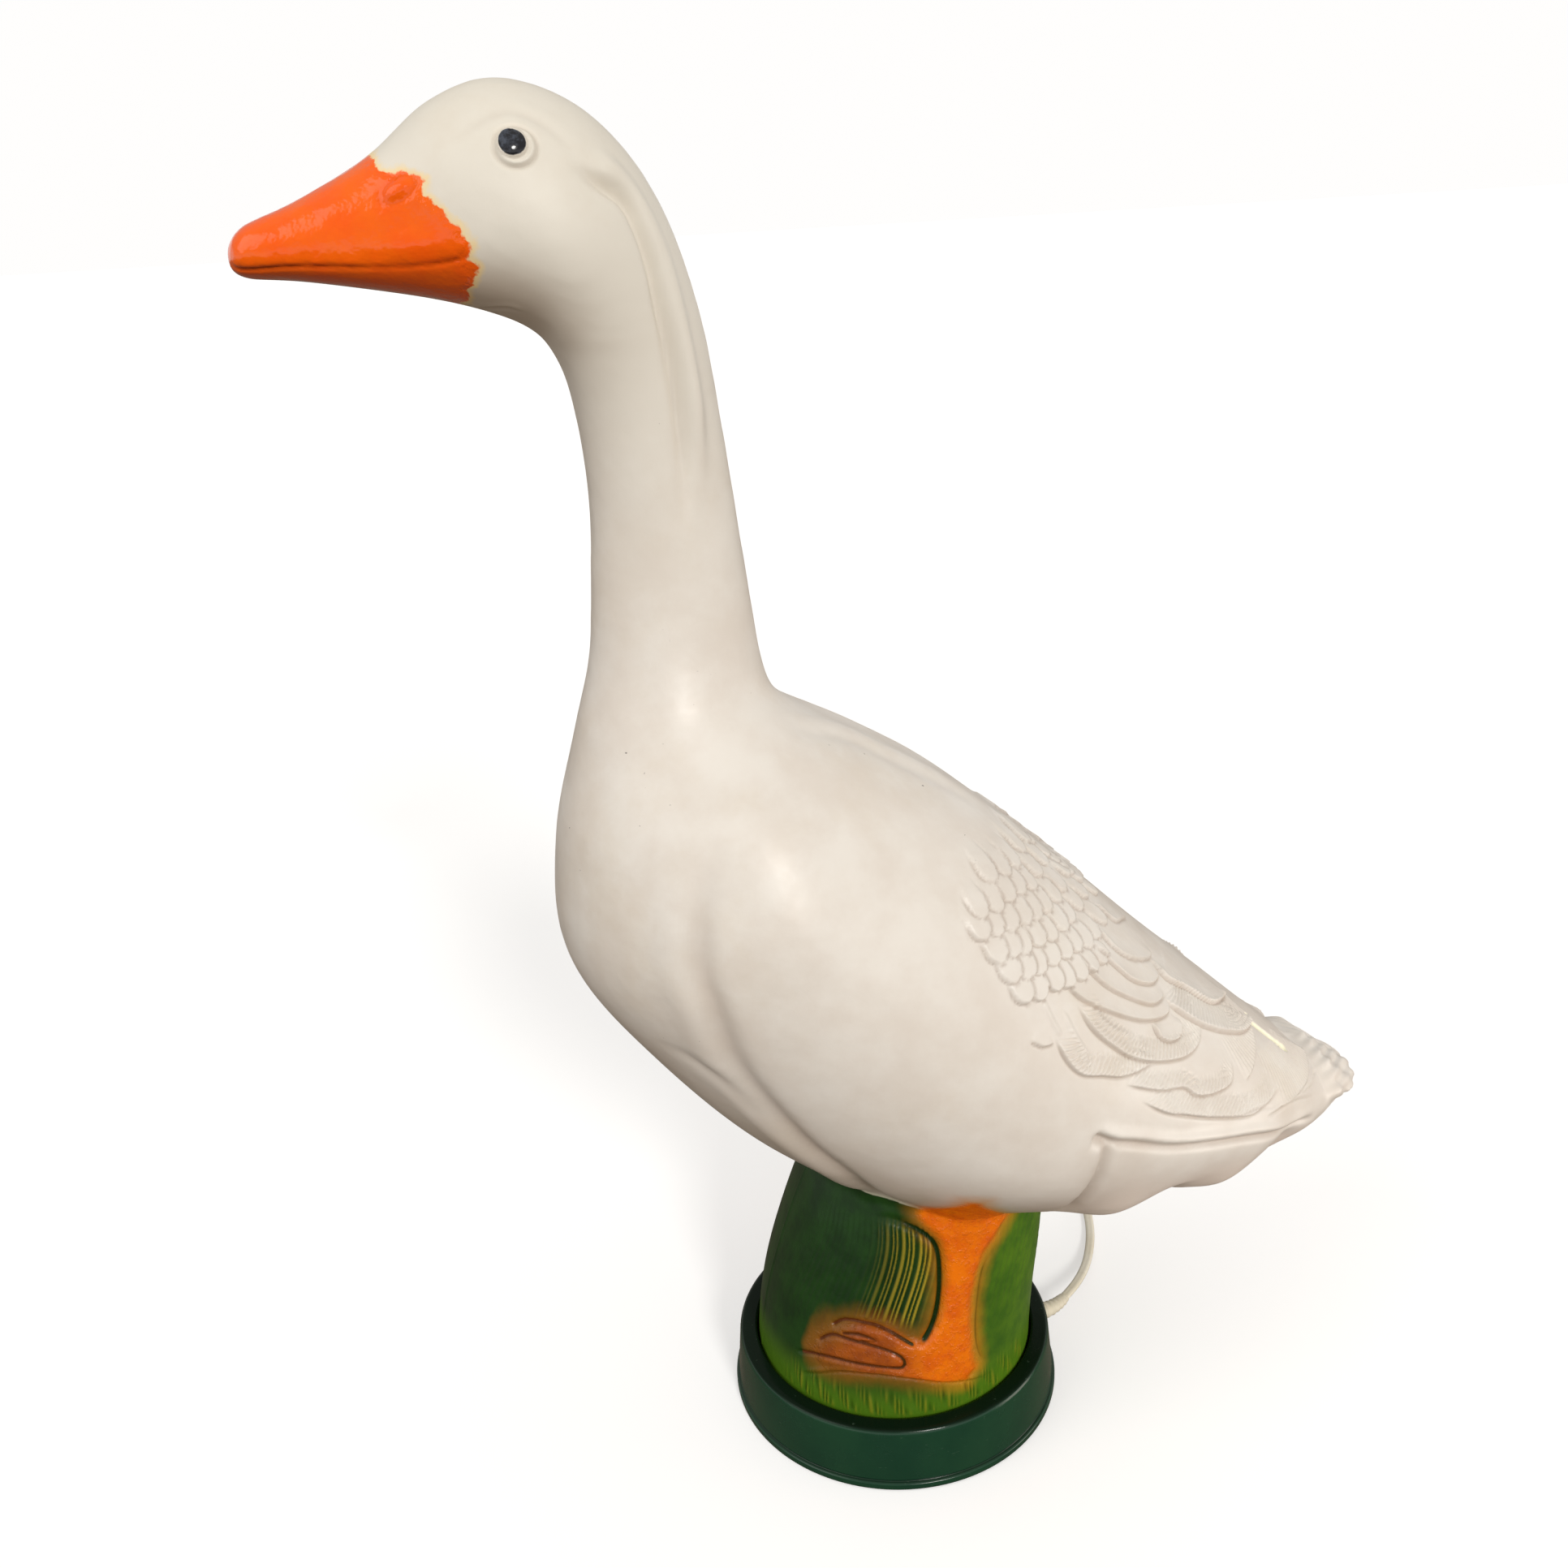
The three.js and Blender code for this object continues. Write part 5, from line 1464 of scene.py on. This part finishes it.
def goose_masks(skin):
    """What the paint follows: distances in millimetres, positive inside each painted area."""
    points = skin.folded
    beak = outline_distance(points, BEAK_EDGE + [(-300, 560), (-300, 700)])
    leg = outline_distance(points, LEG_OUTLINE) - 22 * ease(42 - points[:, 1], 0, 12)
    leg -= 16 * ease(points[:, 2], 146, 176)
    low = np.nonzero((points[:, 2] < 175) & (points[:, 0] < 90))[0]
    green = np.full(len(points), -30.0)
    green[low] = distances(points[low], BODY_TREE) - distances(points[low], COLUMN_TREE)
    pupil = PUPIL_R - np.linalg.norm(points - np.array(EYE), axis=1)
    start, end = (np.array(p, float) for p in SLOT)
    t = np.clip((points - start) @ (end - start) / ((end - start) @ (end - start)), 0, 1)
    slot = 3.2 - np.linalg.norm(points - start - t[:, None] * (end - start), axis=1)
    return {"beak": beak, "leg": leg, "green": green, "pupil": pupil, "slot": slot}


def sculpt_goose():
    goose = smooth_goose()
    mesh = goose.data
    skin = Skin(mesh)
    masks = goose_masks(skin)
    head_relief(skin)
    body_relief(skin)
    feathers(skin)
    tail_relief(skin)
    leg_relief(skin, masks["leg"])
    grass_relief(skin, masks["leg"], masks["green"])
    place_vertices(mesh, skin.points + skin.normals * skin.height[:, None])
    for name, values in masks.items():
        add_attribute(mesh, name, np.clip(values, -40, 40))
    add_attribute(mesh, "crease_shade", np.clip(skin.crease_shade, 0, 1))
    add_attribute(mesh, "comb", skin.comb)
    # How much each vertex faces down, which the paints use for painted shade underneath.
    add_attribute(mesh, "under", ease(-skin.normals[:, 2], 0.15, 0.85))
    mesh.shade_smooth()
    return goose


def between_colours(paint, scale, detail, first, second, low=0.35, high=0.7):
    """Clouds of two colours given as screen values."""
    return paint.cloudy(scale, detail, low, high, srgb(*first), srgb(*second))


def white_plastic(paint, at):
    """White with painted shade underneath and a painted warm floor reflection under the tail, stains, specks,
    painted shade in the creases and the tail's pale slit.
    """
    white = between_colours(paint, 26, 5, (235, 229, 220), (226, 217, 206), 0.3)
    white = paint.mix(paint.step(at["z"], 0.42, 0.62), white, srgb(232, 226, 213))
    # Painted shade on faces that look down, and under the tail a painted warm reflection of the floor.
    shade = paint.mix(paint.step(at["x"], 0.03, 0.1), srgb(190, 172, 152), srgb(250, 232, 218))
    white = paint.mix(paint.times(at["under"], 0.7), white, shade)
    stain = paint.step(paint.noise(9, 6, 0.7), 0.5, 0.72)
    white = paint.mix(paint.times(stain, 0.35), white, srgb(220, 207, 187))
    # Painted shade in the creases.
    white = paint.mix(paint.times(at["crease_shade"], 0.6), white, srgb(146, 122, 104))
    speck = paint.step(paint.noise(330, 2, 0.4, stretch=(1, 1, 2.2)), 0.765, 0.79)
    patch = paint.step(paint.noise(14, 3), 0.58, 0.66)
    white = paint.mix(paint.times(speck, patch), white, srgb(96, 84, 74))
    return paint.mix(paint.step(at["slot"], -0.4, 0.4), white, srgb(255, 250, 222))


def beak_over(paint, at, colour):
    """The orange beak, with painted shade underneath and in its creases, and a yellow haze along its edge."""
    orange = between_colours(paint, 60, 5, (255, 104, 0), (255, 94, 0))
    # Painted shade under the beak.
    orange = paint.mix(paint.times(at["under"], 0.45), orange, srgb(190, 76, 22))
    # Painted shade in the beak's creases.
    orange = paint.mix(paint.times(at["crease_shade"], 0.7), orange, srgb(126, 38, 8))
    haze = paint.times(paint.step(at["edge"], -3.4, -0.2), 0.55)
    colour = paint.mix(haze, colour, srgb(255, 216, 120))
    return paint.mix(paint.step(at["edge"], -0.5, 0.5), colour, orange)


def grass_over(paint, at, colour):
    """The green column: dark in front, lighter behind and at its foot, yellow on the combed ridges."""
    dark = between_colours(paint, 70, 5, (16, 46, 12), (26, 62, 16), 0.3)
    light = between_colours(paint, 90, 5, (62, 104, 20), (84, 124, 22), 0.3)
    grass = paint.mix(paint.step(at["x"], -0.03, 0.06), dark, light)
    grass = paint.mix(paint.times(paint.step(at["z"], 0.062, 0.04), 0.7), grass, srgb(84, 124, 20))
    grass = paint.mix(paint.times(at["comb"], 0.75), grass, srgb(176, 152, 40))
    # Darker in the grooves: dark paint with painted shade.
    grass = paint.mix(paint.times(at["crease_shade"], 0.8), grass, srgb(18, 38, 10))
    spray = paint.plus(at["green"], paint.times(at["ragged"], 0.25))
    colour = paint.mix(paint.times(paint.step(spray, -6, 0), 0.4), colour, srgb(150, 160, 100))
    return paint.mix(paint.step(spray, -0.8, 0.8), colour, grass)


def leg_over(paint, at, colour):
    """The leg sprayed on with a halo, browner towards the toes, and dark in its grooves, for pooled paint and
    painted shade.
    """
    haze = paint.plus(at["leg"], paint.times(at["ragged"], 0.6))
    halo = paint.mix(paint.step(at["x"], -0.02, 0.01), srgb(150, 92, 22), srgb(214, 140, 30))
    colour = paint.mix(paint.times(paint.step(haze, -11, 1), 0.7), colour, halo)
    shank = between_colours(paint, 110, 5, (236, 118, 4), (222, 98, 8))
    toes = between_colours(paint, 130, 5, (166, 82, 20), (142, 66, 20))
    shank = paint.mix(paint.step(at["x"], -0.004, -0.034), shank, toes)
    painted = paint.blend(paint.step(at["x"], -0.038, -0.052), paint.step(haze, -2.5, 3.5),
                          paint.step(haze, -3, 12))
    colour = paint.mix(painted, colour, shank)
    # Dark in the grooves of the leg and toes: pooled paint and painted shade.
    pooled_paint_and_shade = paint.times(paint.step(at["crease_shade"], 0.25, 0.8), paint.step(at["leg"], -11, -7))
    groove_dark = paint.mix(paint.step(at["x"], -0.012, -0.03), srgb(24, 44, 10), srgb(92, 46, 14))
    return paint.mix(pooled_paint_and_shade, colour, groove_dark)


def pupil_over(paint, at, colour):
    blot = paint.plus(at["pupil"], paint.times(at["ragged"], 0.16))
    # Black, with grey-blue patches that are a painted sheen.
    black_with_painted_sheen = between_colours(paint, 240, 3, (26, 27, 32), (74, 80, 92), 0.42, 0.66)
    return paint.mix(paint.step(blot, -0.2, 0.2), colour, black_with_painted_sheen)


def goose_gloss(paint, at):
    """How rough and how shiny each paint is."""
    on_beak, on_green = paint.step(at["edge"], -0.5, 0.5), paint.step(at["green"], -1, 1)
    on_leg = paint.step(at["leg"], -4, 1)
    gloss = paint.blend(paint.step(paint.noise(48, 5), 0.35, 0.7), 0.34, 0.48)
    gloss = paint.blend(paint.step(at["z"], 0.5, 0.58), gloss, 0.5)
    for area, roughness in ((on_beak, 0.14), (on_green, 0.4), (on_leg, 0.26),
                            (paint.step(at["pupil"], -0.2, 0.2), 0.15)):
        gloss = paint.blend(area, gloss, roughness)
    paint.set("Roughness", gloss)
    dull = paint.times(on_green, paint.step(at["leg"], 0, -4))
    shine = paint.blend(dull, paint.blend(on_leg, 0.5, 0.32), 0.25)
    shine = paint.blend(on_beak, shine, 0.42)
    paint.set("Specular IOR Level", paint.blend(at["crease_shade"], shine, 0.1))


def goose_bumps(paint, at):
    """Uneven moulding, fine grain, drops that glint on the leg and brush marks on the beak."""
    paint.height(paint.noise(24, 3), 1.1)
    paint.height(paint.noise(420, 4), 0.05)
    wet = paint.times(paint.step(paint.noise(420, 3), 0.45, 0.75), paint.step(at["leg"], -6, 2))
    paint.height(wet, 0.28)
    paint.height(paint.times(paint.noise(85, 3), paint.step(at["edge"], 0, 4)), 0.9)


def goose_paint():
    """White plastic, airbrushed and brushed by hand: orange beak and legs, green column, black pupils."""
    paint = Paint("goose_paint", 0.4)
    masks = ("beak", "leg", "green", "pupil", "slot", "comb", "crease_shade", "under")
    at = {name: paint.attribute(name) for name in masks}
    axes = paint.node("ShaderNodeSeparateXYZ", {"Vector": paint.place}).outputs
    at["x"], at["z"] = axes["X"], axes["Z"]
    at["ragged"] = paint.times(paint.plus(paint.noise(130, 4), -0.5), 8.0)
    at["edge"] = paint.plus(at["beak"], at["ragged"])
    colour = white_plastic(paint, at)
    for over in (beak_over, grass_over, leg_over, pupil_over):
        colour = over(paint, at, colour)
    paint.set("Base Color", colour)
    goose_gloss(paint, at)
    goose_bumps(paint, at)
    return paint


def hollow_out(goose):
    """Cuts out the inside, open at the foot, and the notch for the cord."""
    tools = [
        make_object("inside", *loft(GOOSE_SECTIONS[HOLLOW], 80, 48, INNER_INSET)),
        make_object("below", *loft(LONG_COLUMN, 30, 64, WALL)),
        block(-120, 120, -120, 120, FOOT_Z - 12, FOOT_Z),
        block(BASE_X + 60, BASE_X + 80, -6, 10, FOOT_Z - 1, 18),
    ]
    carve(goose, tools, solver="MANIFOLD")


def add_goose():
    goose = sculpt_goose()
    hollow_out(goose)
    goose.data.shade_smooth()
    give(goose, goose_paint())
    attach(goose, "goose")
    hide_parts("goose_shell")
    return goose


add_goose()


# ---------------------------------------------------------------- surroundings

def add_floor():
    half = 400000
    corners = [(-half, -half, 0), (half, -half, 0), (half, half, 0), (-half, half, 0)]
    floor = make_object("floor", corners, [(0, 1, 2, 3)])
    paint = Paint("floor", 0.6)
    paint.set("Base Color", (0.8, 0.8, 0.8, 1))
    paint.set("Specular IOR Level", 0.0)
    paint.set("Emission Color", (1, 0.995, 0.99, 1))
    paint.set("Emission Strength", 0.42)
    give(floor, paint)
    floor.visible_diffuse = False        # the object is lit by the room and not by the white floor
    floor.visible_glossy = False


def add_light(name, kind, place, target, power, size, colour=(1, 1, 1)):
    data = bpy.data.lights.new(name, kind)
    data.energy = power
    data.color = colour
    if kind == "SUN":
        data.angle = math.radians(size)
    else:
        data.size = size
    light = bpy.data.objects.new(name, data)
    aim = (Vector(target) - Vector(place)).to_track_quat("-Z", "Y").to_matrix().to_4x4()
    light.matrix_world = Matrix.Translation(place) @ aim
    bpy.context.scene.collection.objects.link(light)


def add_world():
    """A plain room: white near the horizon, dimmer overhead, and a warm dark floor under the white one."""
    world = bpy.data.worlds.new("studio")
    world.use_nodes = True
    tree = world.node_tree
    background = tree.nodes["Background"]
    place = tree.nodes.new("ShaderNodeTexCoord").outputs["Generated"]
    axes = tree.nodes.new("ShaderNodeSeparateXYZ")
    tree.links.new(place, axes.inputs[0])
    ramp = tree.nodes.new("ShaderNodeValToRGB")
    stops = ((0.0, (0.13, 0.1, 0.075)), (0.46, (0.2, 0.165, 0.13)), (0.494, (1, 0.99, 0.98)),
             (0.57, (1, 0.99, 0.98)), (0.66, (0.42, 0.4, 0.38)), (1.0, (0.5, 0.49, 0.47)))
    elements = ramp.color_ramp.elements
    for position, _ in stops[1:-1]:
        elements.new(position)
    for element, (_, colour) in zip(elements, stops):
        element.color = (*colour, 1)
    half = tree.nodes.new("ShaderNodeMapRange")
    half.inputs["From Min"].default_value = -1
    tree.links.new(axes.outputs["Z"], half.inputs["Value"])
    tree.links.new(half.outputs["Result"], ramp.inputs["Fac"])
    tree.links.new(ramp.outputs["Color"], background.inputs["Color"])
    bpy.context.scene.world = world


add_floor()
add_world()
add_light("key", "SUN", (0.22, -1.8, 0.95), (0, 0, 0), 1.52, 12, (1, 0.975, 0.94))
add_light("fill", "SUN", (-1.6, -0.5, 1.3), (0, 0, 0), 0.55, 40, (1, 0.98, 0.95))
add_light("reflector", "AREA", (0.7, -0.35, 0.04), (0.12, -0.05, 0.15), 1.4, 0.35, (1, 0.88, 0.8))
bpy.context.scene.view_settings.view_transform = "Standard"
